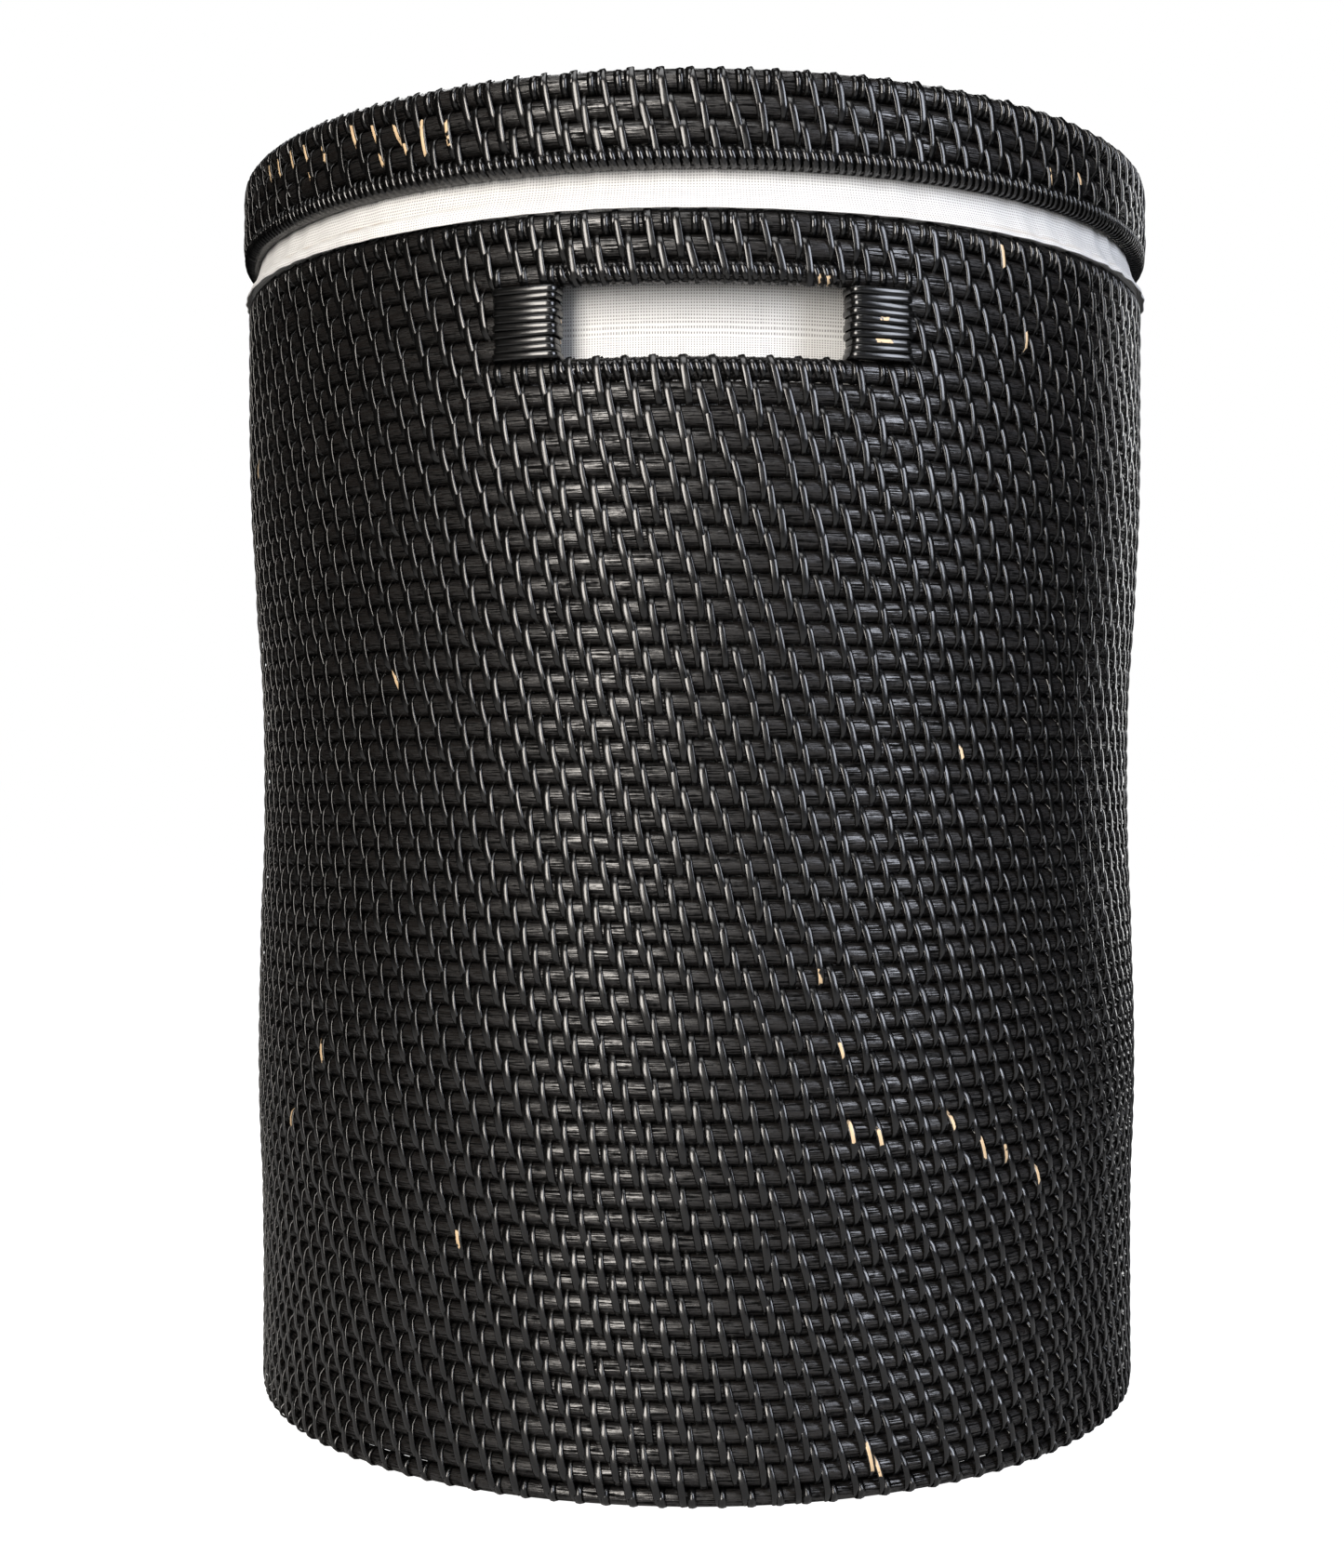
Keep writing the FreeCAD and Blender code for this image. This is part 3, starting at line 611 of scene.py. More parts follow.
# plain-woven cotton, bleached: soft white with a fine net of threads and thicker slubs, and a painted
# brownish shade along the collar's crease
def cottonMuslin(name):
    settings = {"Roughness": 0.9, "IOR": 1.45, "Specular IOR Level": 0.25, "Sheen Weight": 0.15,
                "Sheen Roughness": 0.5}
    material, tree, shader = startMaterial(name, **settings)
    thread = 1.2 * mm  # real threads are two thirds as thick, too fine to show
    on = addNode(tree, "ShaderNodeUVMap", uv_map="cloth")
    on = addNode(tree, "ShaderNodeSeparateXYZ", {0: on}).outputs
    heights = []
    for along, across in [(0, 1), (1, 0)]:
        spread = addNode(tree, "ShaderNodeCombineXYZ", {0: on[along], 1: on[across]})
        spread = addNode(tree, "ShaderNodeVectorMath", {0: spread, 1: (1 / thread, 1 / (14 * mm), 1.0)},
                         operation="MULTIPLY")
        slub = addNode(tree, "ShaderNodeTexNoise", {"Vector": spread, "Scale": 0.8, "Detail": 2.0})
        wander = addNode(tree, "ShaderNodeMath", {0: slub, 1: 0.4 * thread, 2: on[along]},
                         operation="MULTIPLY_ADD")
        turns = addNode(tree, "ShaderNodeMath", {0: wander, 1: 2 * math.pi / thread}, operation="MULTIPLY")
        wave = addNode(tree, "ShaderNodeMath", {0: turns}, operation="SINE")
        wave = addNode(tree, "ShaderNodeMath", {0: wave, 1: 0.5, 2: 0.5}, operation="MULTIPLY_ADD")
        heavy = addNode(tree, "ShaderNodeMapRange", {0: slub, 1: 0.3, 2: 0.75, 3: 0.6, 4: 1.0})
        heights.append(addNode(tree, "ShaderNodeMath", {0: wave, 1: heavy}, operation="MULTIPLY"))
    weave = addNode(tree, "ShaderNodeMath", {0: heights[0], 1: heights[1]}, operation="MAXIMUM")
    shade = addNode(tree, "ShaderNodeMapRange", {0: weave, 1: 0.1, 2: 0.6})
    colour = addNode(tree, "ShaderNodeMix", {0: shade, 6: linear("#7a7978"), 7: linear("#c6c6c5")},
                     data_type="RGBA")
    # painted shade: a brownish line darkens the collar along its crease, where shadow would fall
    creaseShade = addNode(tree, "ShaderNodeAttribute", attribute_name="creaseShade").outputs["Fac"]
    creaseShade = addNode(tree, "ShaderNodeMath", {0: creaseShade, 1: 0.75}, operation="MULTIPLY")
    colour = addNode(tree, "ShaderNodeMix", {0: creaseShade, 6: colour.outputs[2], 7: linear("#8d7a62")},
                     data_type="RGBA")
    bump = addNode(tree, "ShaderNodeBump", {"Strength": 0.5, "Distance": 0.25 * mm, "Height": weave})
    tree.links.new(colour.outputs[2], shader.inputs["Base Color"])
    tree.links.new(bump.outputs[0], shader.inputs["Normal"])
    return material


finish = {
    "core": stainedCore("blackStainedRattanCore"),
    "cane": stainedCane("blackStainedCaneBinding", 0.13),
    "whipping": stainedCane("blackStainedCaneWhipping", 0.12),
    "muslin": cottonMuslin("bleachedCottonMuslin"),
    # dull painted face
    "band": startMaterial("blackStainedPlywood", **{"Base Color": linear("#1c1918"), "Roughness": 0.55})[0],
    # soft shine
    "brass": startMaterial("dulledBrass", **{"Base Color": linear("#a88b4c"), "Metallic": 1.0,
                                             "Roughness": 0.38})[0],
    # flat white cord
    "rubber": startMaterial("knittedElastic", **{"Base Color": linear("#e9e6e1"), "Roughness": 0.8})[0],
}
print("materials ready")


# the wall

def settle(piece, body, slotName, *nodes):
    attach(piece, body)
    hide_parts(*nodes)
    return piece


around = 2 * math.pi * wall["radius"]
firstStart = -math.pi * wall["radius"]  # rows start and end at the back
wallRoll = {"Radius": wall["radius"], "Height": wall["height"], "Waist": wall["waist"],
            "Sway": wall["sway"], "Ripple": wall["ripple"]}
wallSpacing = {"Around": wall["radius"], "Count": wall["stitches"], "Spacing": around / wall["stitches"],
               "Drift": wall["drift"]}
coreDepth, outerDepth = wall["coreDepth"], wall["crownDepth"]
innerDepth = wall["thick"] - wall["crownDepth"]
# angle from the front, height and length in mm
wallWear = [(17.6, 17.6, 6), (20, 14, 4), (33, 138, 5), (36, 134, 4), (14.4, 182, 3), (16, 149, 4),
            (19, 146, 4), (27, 150, 4), (-51.5, 172, 4), (-58.6, 140, 4), (-27.6, 104, 4), (35, 503, 4),
            (-70, 430, 4), (30, 300, 3), (12, 210, 3), (41, 122, 4), (-38, 330, 3), (140, 90, 5),
            (-150, 210, 4), (165, 320, 4), (-120, 60, 5), (100, 150, 4), (-95, 250, 4)]


def rowGuide(rows, start=firstStart, reach=around):  # where the cores of these rows start
    middles = [(rowEdge(row) + rowEdge(row - 1)) / 2 for row in rows]
    shares = [wall["footCore"] if row == wall["rows"] else 1 for row in rows]
    halves = [(rowEdge(row - 1) - rowEdge(row)) * core["fill"] * share for row, share in zip(rows, shares)]
    places = [(start, coreDepth, z) for z in middles]
    return guide(places, reach=[reach] * len(places), half=halves)


def strandGuide(rows, depth):  # where the strands that begin on these rows start
    starts = [(row - 1) * wall["stepBack"] % wallSpacing["Spacing"] + firstStart for row in rows]
    places = [(start, depth, rowEdge(row - 1)) for row, start in zip(rows, starts)]
    shares = [wall["footStrand"] if row == wall["rows"] - 1 else 1.0 for row in rows]
    heights = [share * (rowEdge(row - 1) - rowEdge(row + 1)) / 2 for row, share in zip(rows, shares)]
    return guide(places, rowHeight=heights)


coreSizes = {**wallRoll, "Flatten": core["flatten"], "Steps": core["steps"], "Sides": core["sides"],
             "Material": finish["core"]}
bands = {  # first and last row of each band of the wall, and the node it stands for
    "lower": (40, 57, "wall_lower_coils"),
    "middle": (24, 39, "wall_middle_coils"),
    "upper": (7, 23, "wall_upper_coils"),
    "rim": (1, 3, "wall_rim_coils"),
}
for band, (first, last, node) in bands.items():
    cores = grow(band + "_cores", "core", rowGuide(range(first, last + 1)), coreSizes)
    settle(cores, "basket", "coiled_rattan", node)
    starts = range(first, min(last, wall["rows"] - 1) + 1) if band != "rim" else range(1, 3)
    outside = {**wallRoll, **wallSpacing, **strand, "Jitter": 0.55 * mm, "Seed": first,
               "Material": finish["cane"]}
    binding = grow(band + "_binding", "strand", strandGuide(starts, outerDepth), outside)
    inBand = [spot for spot in wallWear if rowEdge(last) < spot[1] * mm < rowEdge(first - 1)]
    markWear(binding, inBand, strand["Steps"] * strand["Sides"])
    settle(binding, "basket", "coiled_rattan", node)
    inside = {**wallRoll, **wallSpacing, **insideStrand, "Facing": 1.0, "Jitter": 0.4 * mm,
              "Seed": first + 1, "Material": finish["cane"]}
    lining = grow(band + "_binding_inside", "strand", strandGuide(starts, innerDepth), inside)
    settle(lining, "basket", "coiled_rattan", node)
print("wall rows made")

# beside the hand openings
handle = {
    "openings": [0.0, math.pi * wall["radius"]],
    "half": wall["radius"] * wall["openingHalf"],
    "postWidth": wall["radius"] * wall["postAngle"],
    "postDepth": 13.0 * mm,
    "postMiddle": 4.5 * mm,
    "turns": 10,
    "turnShare": 1.06,  # each turn is a little wider than its place, so that they touch
    "turnRise": 1.5 * mm,
    "slack": 1.2 * mm,  # the strip's own thickness, taken off the block inside
    "rounding": 3.5 * mm,
    "clear": 88.0 * mm,  # no binding within this reach of the middle of an opening
    "gripHalves": {"Half Depth": 4.1 * mm, "Half Height": 4.5 * mm},
    "gripStart": 1.5 * mm,
    "gripWear": [(13.4, 482, 4), (12.4, 481, 4), (11.5, 481, 3)],
    "postWear": [(20.3, 470, 1.3), (20.3, 463, 1.6)],
    "sideWear": [(38, 470, 4)],
}
firstOpen, lastOpen = wall["openRows"]
openLow, openHigh = rowEdge(lastOpen), rowEdge(firstOpen - 1)
cheekStart = handle["half"] + wall["radius"] * wall["cheek"]
sideReach = math.pi * wall["radius"] - 2 * cheekStart
for side, start, node in [("right", cheekStart, "side_coils_right"),
                          ("left", -cheekStart - sideReach, "side_coils_left")]:
    rows = rowGuide(range(firstOpen, lastOpen + 1), start, sideReach)
    sizes = {**coreSizes, "Steps": core["steps"] // 2, "Capped": True}
    cores = grow(f"side_cores_{side}", "core", rows, sizes)
    settle(cores, "basket", "coiled_rattan", node)
sideRows = range(firstOpen - 1, lastOpen + 1)
sideBinding = {**wallRoll, **wallSpacing, **strand, "Clear": handle["clear"], "Jitter": 0.55 * mm,
               "Seed": 61, "Material": finish["cane"]}
piece = grow("side_binding", "strand", strandGuide(sideRows, outerDepth), sideBinding)
markWear(piece, handle["sideWear"], strand["Steps"] * strand["Sides"])
settle(piece, "basket", "coiled_rattan", "side_coils_left", "side_coils_right")
sideLining = {**wallRoll, **wallSpacing, **insideStrand, "Clear": handle["clear"], "Facing": 1.0,
              "Seed": 62, "Material": finish["cane"]}
piece = grow("side_binding_inside", "strand", strandGuide(sideRows, innerDepth), sideLining)
settle(piece, "basket", "coiled_rattan", "side_coils_left", "side_coils_right")

for index, middle in enumerate(handle["openings"]):
    face = ["front", "back"][index]
    for label, row in [("grip", firstOpen - 1), ("sill", lastOpen + 1)]:
        count = int(2 * handle["half"] / whipping["pitch"])
        level = (rowEdge(row) + rowEdge(row - 1)) / 2
        start = guide([(middle - handle["half"] + handle["gripStart"], coreDepth, level)])
        sizes = {**wallRoll, **turnOfStrip, **handle["gripHalves"], "Around": wall["radius"],
                 "Count": count, "Spacing": whipping["pitch"], "Jitter": 0.3 * mm,
                 "Lean": whipping["lean"], "Width": whipping["width"], "Rise": whipping["rise"],
                 "Material": finish["whipping"]}
        piece = grow(f"{label}_turns_{face}", "whipping", start, sizes)
        if label == "grip":
            markWear(piece, handle["gripWear"], turnOfStrip["Steps"] * turnOfStrip["Sides"])
        settle(piece, "basket", "wrapped_rattan", f"{label}_whipping_{face}")
    for side, sign in [("left", -1), ("right", 1)]:
        step = (openHigh - openLow) / handle["turns"]
        across = middle + sign * (handle["half"] + handle["postWidth"] / 2)
        loops = guide([(across, handle["postMiddle"], openLow + (k + 0.5) * step)
                       for k in range(handle["turns"])])
        sizes = {**wallRoll, "Breadth": handle["postWidth"] - handle["slack"],
                 "Depth": handle["postDepth"] - handle["slack"], "Rounding": handle["rounding"],
                 "Width": step * handle["turnShare"], "Rise": handle["turnRise"],
                 "Material": finish["whipping"]}
        piece = grow(f"post_turns_{face}_{side}", "post", loops, sizes)
        markWear(piece, handle["postWear"], len(piece.data.vertices) // handle["turns"])
        settle(piece, "basket", "wrapped_rattan", f"handle_post_{face}_{side}")

# short wraps: over the rim, round the foot, and above and below the posts
shortWrap = {
    "turn": {**turnOfStrip, "Half Depth": 4.3 * mm, "Half Height": 4.55 * mm, "Width": 3.3 * mm,
             "Lean": -0.08},
    "apart": 3.7 * mm,  # the two turns of a pair over the rim
    "footHalf": 3.65 * mm,
    "lidHalf": 4.75 * mm,
    "lidWidth": turnOfStrip["Width"],
    "atPost": 3,  # turns above and below each post
}
shortTurn = {**wallRoll, **wallSpacing, **shortWrap["turn"], "Material": finish["cane"]}
level = (rowEdge(0) + rowEdge(1)) / 2
rimStarts = guide([(firstStart, coreDepth, level), (firstStart - shortWrap["apart"], coreDepth, level)])
piece = grow("rim_wraps", "whipping", rimStarts, {**shortTurn, "Jitter": 0.3 * mm})
settle(piece, "basket", "coiled_rattan", "wall_rim_coils")
footLevel = (rowEdge(wall["rows"]) + rowEdge(wall["rows"] - 1)) / 2
footStart = firstStart + (wall["rows"] - 1) * wall["stepBack"] % wallSpacing["Spacing"]
sizes = {**shortTurn, "Half Height": shortWrap["footHalf"], "Jitter": 0.5 * mm}
piece = grow("foot_wraps", "whipping", guide([(footStart, coreDepth, footLevel)]), sizes)
settle(piece, "basket", "coiled_rattan", "wall_lower_coils")
starts = []
for middle in handle["openings"]:
    for sign in (-1, 1):
        for row in (firstOpen - 1, lastOpen + 1):
            across = middle + sign * (handle["half"] + handle["postWidth"] / 2) - wallSpacing["Spacing"]
            starts.append((across, coreDepth, (rowEdge(row) + rowEdge(row - 1)) / 2))
sizes = {**shortTurn, "Count": shortWrap["atPost"], "Drift": 0.0, "Jitter": 0.6 * mm}
piece = grow("post_end_wraps", "whipping", guide(starts), sizes)
settle(piece, "basket", "coiled_rattan", "wall_rim_coils", "wall_upper_coils")
print("hand openings and short wraps made")


# flat coils: the bottom of the basket and the top of the lid

baseCoil = {"outer": 196.4 * mm, "pitch": wall["pitch"], "middle": (baseLow.z + baseHigh.z) / 2,
            "half": 4.0 * mm, "rings": 22, "strandSides": 4}
lidCoil = {"outer": 202.7 * mm, "pitch": lid["pitch"], "middle": (discLow.z + discHigh.z) / 2 + 0.2 * mm,
           "half": 4.3 * mm, "rings": 21, "strandSides": 6}
flatStrand = {"Depth": 3.2 * mm, "Spacing": 11.6 * mm, "Steps": 6}
sunk = 0.3 * mm  # a strand lies this far into the face of its coil


def flatCoil(name, body, slotName, node, coil):
    pitch, middle, half, count = coil["pitch"], coil["middle"], coil["half"], coil["rings"]
    rings = [coil["outer"] - pitch * i for i in range(count)]
    phases = [(i * 0.618 % 1) * 2 * math.pi for i in range(count)]
    centre = [(0, 0, middle)] * count
    sizes = {"Steps Round": 150, "Half Width": pitch * 0.5, "Half Height": half, "Sides": 10,
             "Material": finish["core"]}
    cores = grow(name + "_cores", "flatCore", guide(centre, ring=rings, phase=phases), sizes)
    settle(cores, body, slotName, node)
    for side, facing in [("upper", 1.0), ("lower", -1.0)]:
        starts = guide(centre[:-1], ring=[r + pitch / 2 for r in rings[:-1]], phase=phases[:-1])
        sizes = {**strand, **flatStrand, "Sides": coil["strandSides"], "Pitch": pitch,
                 "Level": facing * (half - sunk), "Facing": facing, "Material": finish["cane"]}
        settle(grow(f"{name}_{side}_binding", "flatStrand", starts, sizes), body, slotName, node)


flatCoil("base", "basket", "coiled_rattan", "base_coil", baseCoil)
flatCoil("lid_top", "lid", "lid_rattan", "lid_top_coil", lidCoil)
print("flat coils made")

# the lid's rim
lidRoll = {"Radius": lid["radius"], "Height": wall["height"], "Waist": 0.0, "Sway": lid["sway"],
           "Ripple": lid["sway"]}
lidAround = 2 * math.pi * lid["radius"]
lidSpacing = {"Around": lid["radius"], "Count": lid["stitches"], "Spacing": lidAround / lid["stitches"],
              "Drift": wall["drift"]}
lidStart = -math.pi * lid["radius"]
lidEdges = [lid["top"] - lid["pitch"] * row for row in range(lid["rimRows"] + 2)]
lidWear = [(-61.5, 555, 3), (-57.9, 555, 3.4), (-54.4, 556, 4), (-51.0, 555, 3.4), (-46.0, 551, 3),
           (-46.3, 555, 2.2), (-42.9, 555, 3.6), (-39.3, 553, 4.4), (-35.8, 551, 4), (-32.6, 550, 4.4),
           (-37.6, 543, 2.6), (-34.4, 544, 3), (-31.5, 544, 3.2), (-28.4, 552, 2.8), (-27.5, 546, 2.4),
           (-50.4, 545, 2), (43, 541, 3), (48, 545, 3)]
middles = [(high + low) / 2 for high, low in zip(lidEdges, lidEdges[1:])]
halves = [lid["pitch"] * lid["fill"]] * lid["rimRows"] + [lid["edgeHalf"]]
cores = guide([(lidStart, coreDepth, z) for z in middles], reach=[lidAround] * len(middles), half=halves)
sizes = {**lidRoll, "Flatten": lid["flatten"], "Steps": core["steps"], "Sides": core["sides"],
         "Material": finish["core"]}
settle(grow("lid_rim_cores", "core", cores, sizes), "lid", "lid_rattan", "lid_rim_coils", "lid_edge_coil")
depths = [outerDepth] * (lid["rimRows"] - 1) + [outerDepth - lid["lastOut"]]
lidStarts = [(row * wall["stepBack"] % lidSpacing["Spacing"] + lidStart, depths[row], lidEdges[row])
             for row in range(lid["rimRows"])]
sizes = {**lidRoll, **lidSpacing, **strand, "Pitch": lid["pitch"], "Jitter": 0.5 * mm, "Seed": 71,
         "Material": finish["cane"]}
rowHeights = [lid["pitch"]] * (lid["rimRows"] - 1) + [lid["pitch"] * lid["lastStrand"]]
piece = grow("lid_rim_binding", "strand", guide(lidStarts, rowHeight=rowHeights), sizes)
markWear(piece, lidWear, strand["Steps"] * strand["Sides"])
settle(piece, "lid", "lid_rattan", "lid_rim_coils")
inner = [(x, innerDepth, z) for x, y, z in lidStarts]
sizes = {**lidRoll, **lidSpacing, **insideStrand, "Pitch": lid["pitch"], "Facing": 1.0, "Seed": 72,
         "Material": finish["cane"]}
piece = grow("lid_rim_binding_inside", "strand", guide(inner, rowHeight=[lid["pitch"]] * lid["rimRows"]),
             sizes)
settle(piece, "lid", "lid_rattan", "lid_rim_coils")
topWraps = guide([(x, coreDepth, middles[0]) for x in (lidStart, lidStart - shortWrap["apart"])])
sizes = {**lidRoll, **lidSpacing, **shortWrap["turn"], "Half Height": shortWrap["lidHalf"],
         "Width": shortWrap["lidWidth"], "Jitter": 0.3 * mm, "Material": finish["cane"]}
piece = grow("lid_rim_wraps", "whipping", topWraps, sizes)
settle(piece, "lid", "lid_rattan", "lid_rim_coils")
edgeCount = int(lidAround / whipping["pitch"])
sizes = {**lidRoll, **turnOfStrip, **lid["edgeHalves"], "Around": lid["radius"], "Count": edgeCount,
         "Spacing": lidAround / edgeCount, "Jitter": 0.3 * mm, "Lean": whipping["lean"],
         "Width": whipping["width"], "Rise": whipping["rise"], "Steps": lid["edgeSteps"],
         "Material": finish["whipping"]}
piece = grow("lid_edge_turns", "whipping", guide([(lidStart, lid["edgeDepth"], middles[-1])]), sizes)
settle(piece, "lid", "wrapped_rattan", "lid_edge_whipping", "lid_edge_coil")
print("lid made")


# the cotton bag

cloth = {
    "columns": 370,
    "thick": 0.5 * mm,
    "flatWidth": 1.30,  # metres
    # radii and heights in mm: up the inside, over the neck and down the collar, then out over the rim
    "profile": [(189.6, 14.3), (190.2, 60), (190.8, 150), (191.4, 250), (192.0, 350), (192.4, 430),
                (192.8, 470), (193.2, 492), (196.9, 499), (200.4, 506), (201.2, 530), (201.3, 549),
                (201.5, 554.6), (202.3, 556.9), (204.0, 557.7), (205.8, 556.9), (206.5, 554.4),
                (206.7, 547), (206.5, 539), (206.5, 532)],
    "roll": [(207.0, 527), (207.9, 523), (209.6, 519.6), (211.8, 516.4), (212.9, 513.7)],
    # how far the collar stands out, by degrees round from the front
    "fullness": [(-180, 0.8), (-90, 0.75), (-60, 0.9), (-40, 0.75), (-25, 0.35), (-12, 0.1), (0, 0.1),
                 (15, 0.35), (45, 0.5), (70, 0.8), (90, 1.0), (180, 0.9)],
    "fullOut": 4.6,
    "lapDown": 2.2,  # how far it laps down over the rim where it is full
    "foldStart": 14,  # the crease starts this far above the roll
}
crease = {  # pressed into the collar just above its hem, by degrees round from the front
    "level": [(-75, 515.5), (-60, 516.5), (-42, 518), (-29, 519.5), (10, 515), (40, 515.2), (90, 516)],
    "strength": [(-80, 0), (-62, 0.8), (-50, 1), (-34, 1), (-24, 0), (12, 0), (30, 0.5), (80, 0.6),
                 (100, 0), (150, 0)],
    "swell": 1.4,
    "dip": 1.2,
}
# the hem, the elastic in it and the bottom: radii, heights and halves in mm, flat sizes in metres
hemTube = {"radius": 208.7, "radiusFull": 2.4, "half": 2.3, "halfFull": 0.8, "level": 513.4, "corners": 14,
           "flatWidth": 1.32, "flatHeight": 0.022}
elasticCord = {"half": 1.6, "corners": 8, "girth": 0.012}
bagBottom = {"radius": 189.4, "level": 14.1, "unevenness": 0.35, "columns": 120, "flatWidth": 0.6}


def ripples(angle, seed, fewest, most, count):  # a sum of waves that closes round the basket, about -1 to 1
    draw = np.random.default_rng(seed)
    waves = draw.integers(fewest, most, count)
    phases = draw.uniform(0, 2 * math.pi, count)
    return sum(np.sin(w * angle + p) for w, p in zip(waves, phases)) / math.sqrt(count)


# a tube of cloth from rings of points, with its UV map in metres
def clothMesh(name, grid, lengths, flatWidth):
    rows, columns, _ = grid.shape
    faces = []
    for r in range(rows - 1):
        for c in range(columns):
            after = (c + 1) % columns
            here, above = r * columns, (r + 1) * columns
            faces.append((here + c, here + after, above + after, above + c))
    mesh = bpy.data.meshes.new(name)
    mesh.from_pydata(grid.reshape(-1, 3).tolist(), [], faces)
    uv = []
    for r in range(rows - 1):
        for c in range(columns):
            left, right = c / columns * flatWidth, (c + 1) / columns * flatWidth
            uv += [left, lengths[r], right, lengths[r], right, lengths[r + 1], left, lengths[r + 1]]
    mesh.uv_layers.new(name="cloth").data.foreach_set("uv", uv)
    mesh.polygons.foreach_set("use_smooth", [True] * len(faces))
    mesh.materials.append(finish["muslin"])
    piece = bpy.data.objects.new(name, mesh)
    scene.collection.objects.link(piece)
    return piece


def ringAt(angles, radius, height):  # points in metres from sizes in mm
    return np.stack([np.cos(angles) * radius * mm, np.sin(angles) * radius * mm, height * mm], axis=1)


def thicken(piece, offset):
    shell = piece.modifiers.new("cloth", "SOLIDIFY")
    shell.thickness, shell.offset = cloth["thick"], offset


def closeSeam(piece):
    joined = piece.modifiers.new("seam", "WELD")
    joined.merge_threshold = 0.01 * mm


angle = np.linspace(-math.pi, math.pi, cloth["columns"], endpoint=False)
full = np.interp(np.degrees(angle), *zip(*cloth["fullness"]))
full = np.clip(full + 0.12 * ripples(angle, 5, 3, 14, 6), 0.04, 1.15)
anchors = cloth["profile"] + cloth["roll"]
steps = np.cumsum([0] + [math.dist(a, b) for a, b in zip(anchors, anchors[1:])])
# rings 12 mm apart low in the bag, 3.2 mm at the neck and 1 mm in the collar
fine = np.concatenate([np.arange(0, steps[6], 12.0), np.arange(steps[6], steps[11], 3.2),
                       np.arange(steps[11], steps[-1], 1.0), [steps[-1]]])
radii = np.interp(fine, steps, [a[0] for a in anchors])
levels = np.interp(fine, steps, [a[1] for a in anchors])
for _ in range(2):  # rounds the corners of the profile
    radii[1:-1] = (radii[:-2] + 2 * radii[1:-1] + radii[2:]) / 4
    levels[1:-1] = (levels[:-2] + 2 * levels[1:-1] + levels[2:]) / 4
rollStart = steps[len(cloth["profile"]) - 1]
degrees = np.degrees(angle)
creaseLevel = np.interp(degrees, *zip(*crease["level"]))
creased = np.interp(degrees, *zip(*crease["strength"]))
rings, creaseShades = [], []
for t, radius, height in zip(fine, radii, levels):
    loose = np.clip(1 - abs(height - 250) / 260, 0, 1) if t < steps[8] else 0
    broad, small = ripples(angle + t * 0.0012, 11, 2, 9, 5), ripples(angle - t * 0.002, 12, 12, 40, 6)
    swell = loose * (2.8 * broad + 1.1 * small - 1.4)
    share = np.clip((t - rollStart + 7) / (steps[-1] - rollStart + 7), 0, 1)
    out = math.sin(min(1, share * 1.15) * math.pi * 0.62)  # swells above the hem
    gathers = np.clip((t - rollStart + 22) / 24, 0, 1) * 0.32 * ripples(angle, 21, 50, 110, 9)
    reach = radius + swell + out * (cloth["fullOut"] * full - 0.5) + gathers
    lift = height - np.clip((t - rollStart) / 12, 0, 1) * cloth["lapDown"] * full
    below = lift - creaseLevel
    low = t >= rollStart - cloth["foldStart"]
    # painted shade along the crease, kept for the cloth's colour
    creaseShade = creased * np.exp(-((below - 0.2) / 0.7) ** 2) * low
    creaseShades.append(creaseShade * (0.6 + 0.4 * ripples(angle, 8, 3, 30, 5)))
    if low:
        swollen = crease["swell"] * np.exp(-((below + 2.6) / 2.2) ** 2)
        pressed = crease["dip"] * np.exp(-((below - 0.3) / 0.9) ** 2)
        reach = reach + creased * (swollen - pressed)
    rings.append(ringAt(angle + frontAngle, reach, lift))
bag = clothMesh("bag", np.array(rings), fine * mm, cloth["flatWidth"])
# the painted crease shade goes on the bag as a point attribute
bag.data.attributes.new("creaseShade", "FLOAT", "POINT").data.foreach_set("value", np.clip(creaseShades, 0, 1).ravel())
thicken(bag, 0)
settle(bag, "liner", "cotton_bag", "liner_bag")

hemRadius = hemTube["radius"] + hemTube["radiusFull"] * full
hemHalf = hemTube["half"] + hemTube["halfFull"] * full
hemLevel = hemTube["level"] + hemHalf * 0.95
swell = hemHalf + 0.22 * ripples(angle, 31, 50, 110, 8)  # gathered
hemRings = []
for turn in np.linspace(0, 2 * math.pi, hemTube["corners"], endpoint=False):
    hemRings.append(ringAt(angle + frontAngle, hemRadius + swell * np.cos(turn),
                           hemLevel + 0.9 * swell * np.sin(turn)))
hemRings.append(hemRings[0])
hem = clothMesh("hem", np.array(hemRings), np.linspace(0, hemTube["flatHeight"], len(hemRings)),
                hemTube["flatWidth"])
closeSeam(hem)
thicken(hem, -1)
settle(hem, "liner", "cotton_hem", "liner_hem")

cord = []
for turn in np.linspace(0, 2 * math.pi, elasticCord["corners"] + 1):
    cord.append(ringAt(angle + frontAngle, hemRadius + elasticCord["half"] * np.cos(turn),
                       hemLevel + elasticCord["half"] * np.sin(turn)))
elastic = clothMesh("elastic", np.array(cord), np.linspace(0, elasticCord["girth"], len(cord)),
                    hemTube["flatWidth"])
elastic.data.materials[0] = finish["rubber"]
closeSeam(elastic)
settle(elastic, "liner", "elastic", "liner_elastic")

edge = bagBottom["radius"]
bottomRadii = np.concatenate([[0.5], np.linspace(6, edge, 36)])
bottomAngles = np.linspace(-math.pi, math.pi, bagBottom["columns"], endpoint=False)
rings = []
for radius in bottomRadii:
    held = min(1, radius / 60) * min(1, (edge - radius) / 20)  # flat at the middle and the seam
    bump = bagBottom["unevenness"] * ripples(bottomAngles, 41, 2, 7, 5) * held
    rings.append(ringAt(bottomAngles, radius, bagBottom["level"] + bump))
bottom = clothMesh("bag_bottom", np.array(rings), bottomRadii * mm, bagBottom["flatWidth"])
thicken(bottom, 0)
settle(bottom, "liner", "cotton_bag", "liner_bottom")

print("cotton bag made")

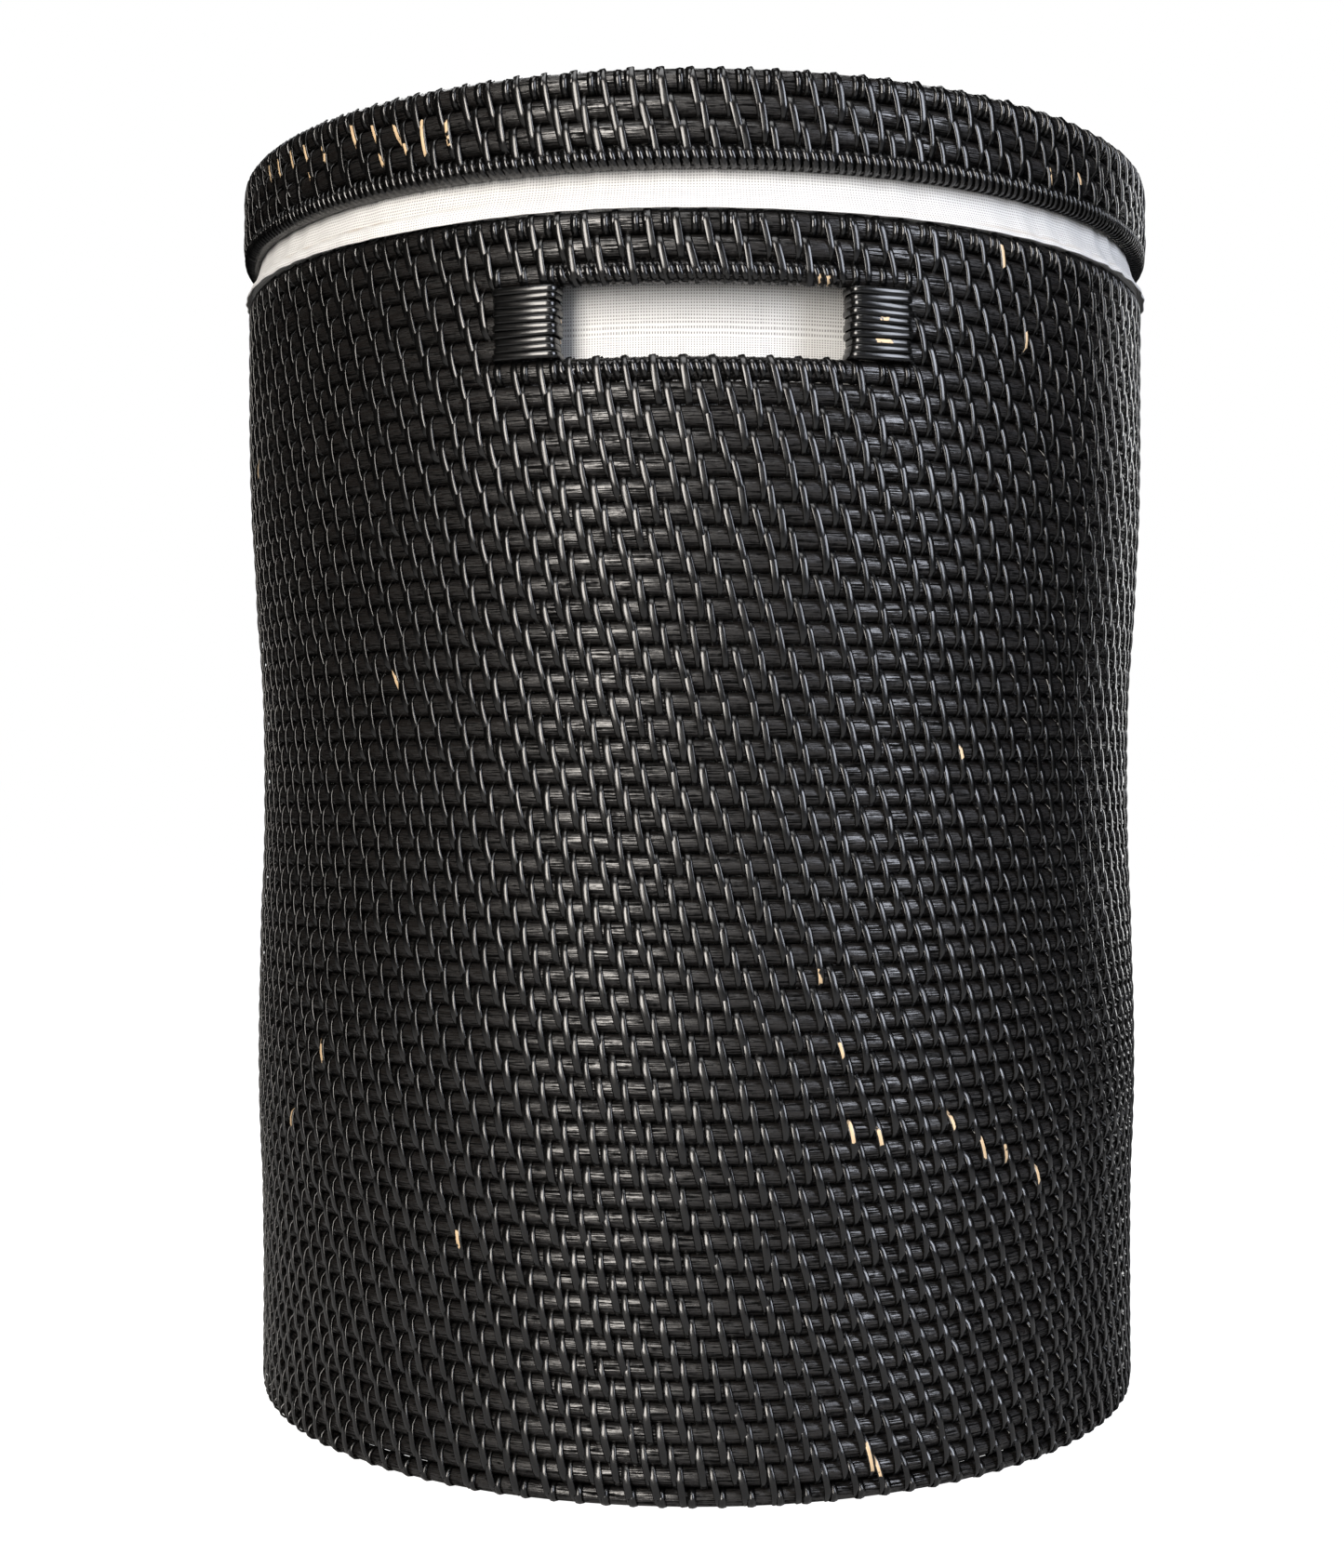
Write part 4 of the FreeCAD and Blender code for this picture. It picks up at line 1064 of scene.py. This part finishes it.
# kept as they are: the band that stiffens the neck, and its brads
for node, material in [("neck_band", "band"), ("neck_brads", "brass")]:
    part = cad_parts[node]
    for slot in part.material_slots:
        slot.material = finish[material]

# the studio
studio = {"floor": 60.0, "near": "#a4a4a4", "far": "#404040", "reach": (0.4, 1.4), "glow": 1.0, "sky": 1.0,
          "fill": 0.008}
# matt paper with a painted pool of light: its colour is paler near the basket and darker further out
settings = {"Roughness": 1.0, "Specular IOR Level": 0.0, "Emission Color": (1, 1, 1, 1)}
paper, tree, shader = startMaterial("paperSweep", **settings)
place = addNode(tree, "ShaderNodeTexCoord").outputs["Object"]
outwards = addNode(tree, "ShaderNodeVectorMath", {0: place}, operation="LENGTH").outputs["Value"]
outwards = addNode(tree, "ShaderNodeMapRange", {0: outwards, 1: studio["reach"][0], 2: studio["reach"][1]})
paintedPool = addNode(tree, "ShaderNodeMix", {0: outwards, 6: linear(studio["near"]), 7: linear(studio["far"])},
               data_type="RGBA")
tree.links.new(paintedPool.outputs[2], shader.inputs["Base Color"])
direct = addNode(tree, "ShaderNodeLightPath").outputs["Is Camera Ray"]
glow = addNode(tree, "ShaderNodeMath", {0: direct, 1: studio["glow"]}, operation="MULTIPLY")
tree.links.new(glow.outputs[0], shader.inputs["Emission Strength"])
half = studio["floor"] / 2
floorMesh = bpy.data.meshes.new("floor")
corners = [(-half, -half, 0), (half, -half, 0), (half, half, 0), (-half, half, 0)]
floorMesh.from_pydata(corners, [], [(0, 1, 2, 3)])
floorMesh.materials.append(paper)
floor = bpy.data.objects.new("floor", floorMesh)
scene.collection.objects.link(floor)

world = bpy.data.worlds.new("studio")
scene.world = world
world.use_nodes = True
world.node_tree.nodes.clear()
seen = addNode(world.node_tree, "ShaderNodeLightPath").outputs["Is Camera Ray"]
power = addNode(world.node_tree, "ShaderNodeMapRange", {0: seen, 3: studio["fill"], 4: studio["sky"]})
sky = addNode(world.node_tree, "ShaderNodeBackground", {"Color": (1, 1, 1, 1), "Strength": power})
addNode(world.node_tree, "ShaderNodeOutputWorld", {0: sky})

lamps = {  # azimuth from the front, elevation, distance, width, height, watts, colour
    "keyStrip": (-23, 18, 1.5, 0.5, 1.3, 35, "#fff8f0"),
    "coolStrip": (48, 20, 1.6, 0.5, 1.3, 25, "#edf2ff"),
    "frontFill": (-4, 8, 2.2, 1.8, 1.2, 6, "#ffffff"),
    "topBox": (-10, 74, 2.0, 1.2, 1.2, 16, "#ffffff"),
    "backSoft": (180, 38, 2.2, 1.4, 1.0, 20, "#ffffff"),
    "backRight": (142, 8, 2.4, 0.6, 1.8, 12, "#ffffff"),
}
aim = Vector((0, 0, 0.3))
for name, (azimuth, elevation, away, width, height, watts, colour) in lamps.items():
    light = bpy.data.lights.new(name, "AREA")
    light.shape, light.size, light.size_y = "RECTANGLE", width, height
    light.energy, light.color = watts, linear(colour)[:3]
    lamp = bpy.data.objects.new(name, light)
    scene.collection.objects.link(lamp)
    turn, rise = math.radians(azimuth) + frontAngle, math.radians(elevation)
    toward = Vector((math.cos(rise) * math.cos(turn), math.cos(rise) * math.sin(turn), math.sin(rise)))
    lamp.location = aim + toward * away
    lamp.rotation_euler = toward.to_track_quat("Z", "Y").to_euler()

# the camera
view = {"distance": 1.0292, "height": 0.2956, "azimuth": -0.95, "down": 0.0097, "roll": 0.002,
        "lens": 47.79, "shift": -0.01524}
camera = bpy.data.cameras.new("camera")
camera.lens, camera.sensor_width, camera.shift_x = view["lens"], 36.0, view["shift"]
cameraObject = bpy.data.objects.new("camera", camera)
scene.collection.objects.link(cameraObject)
swing = math.radians(view["azimuth"])
cameraObject.location = (math.sin(swing) * view["distance"], -math.cos(swing) * view["distance"],
                         view["height"])
cameraObject.rotation_euler = (math.pi / 2 - view["down"], view["roll"], swing)
scene.camera = cameraObject
scene.view_settings.view_transform = "Standard"
print("studio and camera ready")
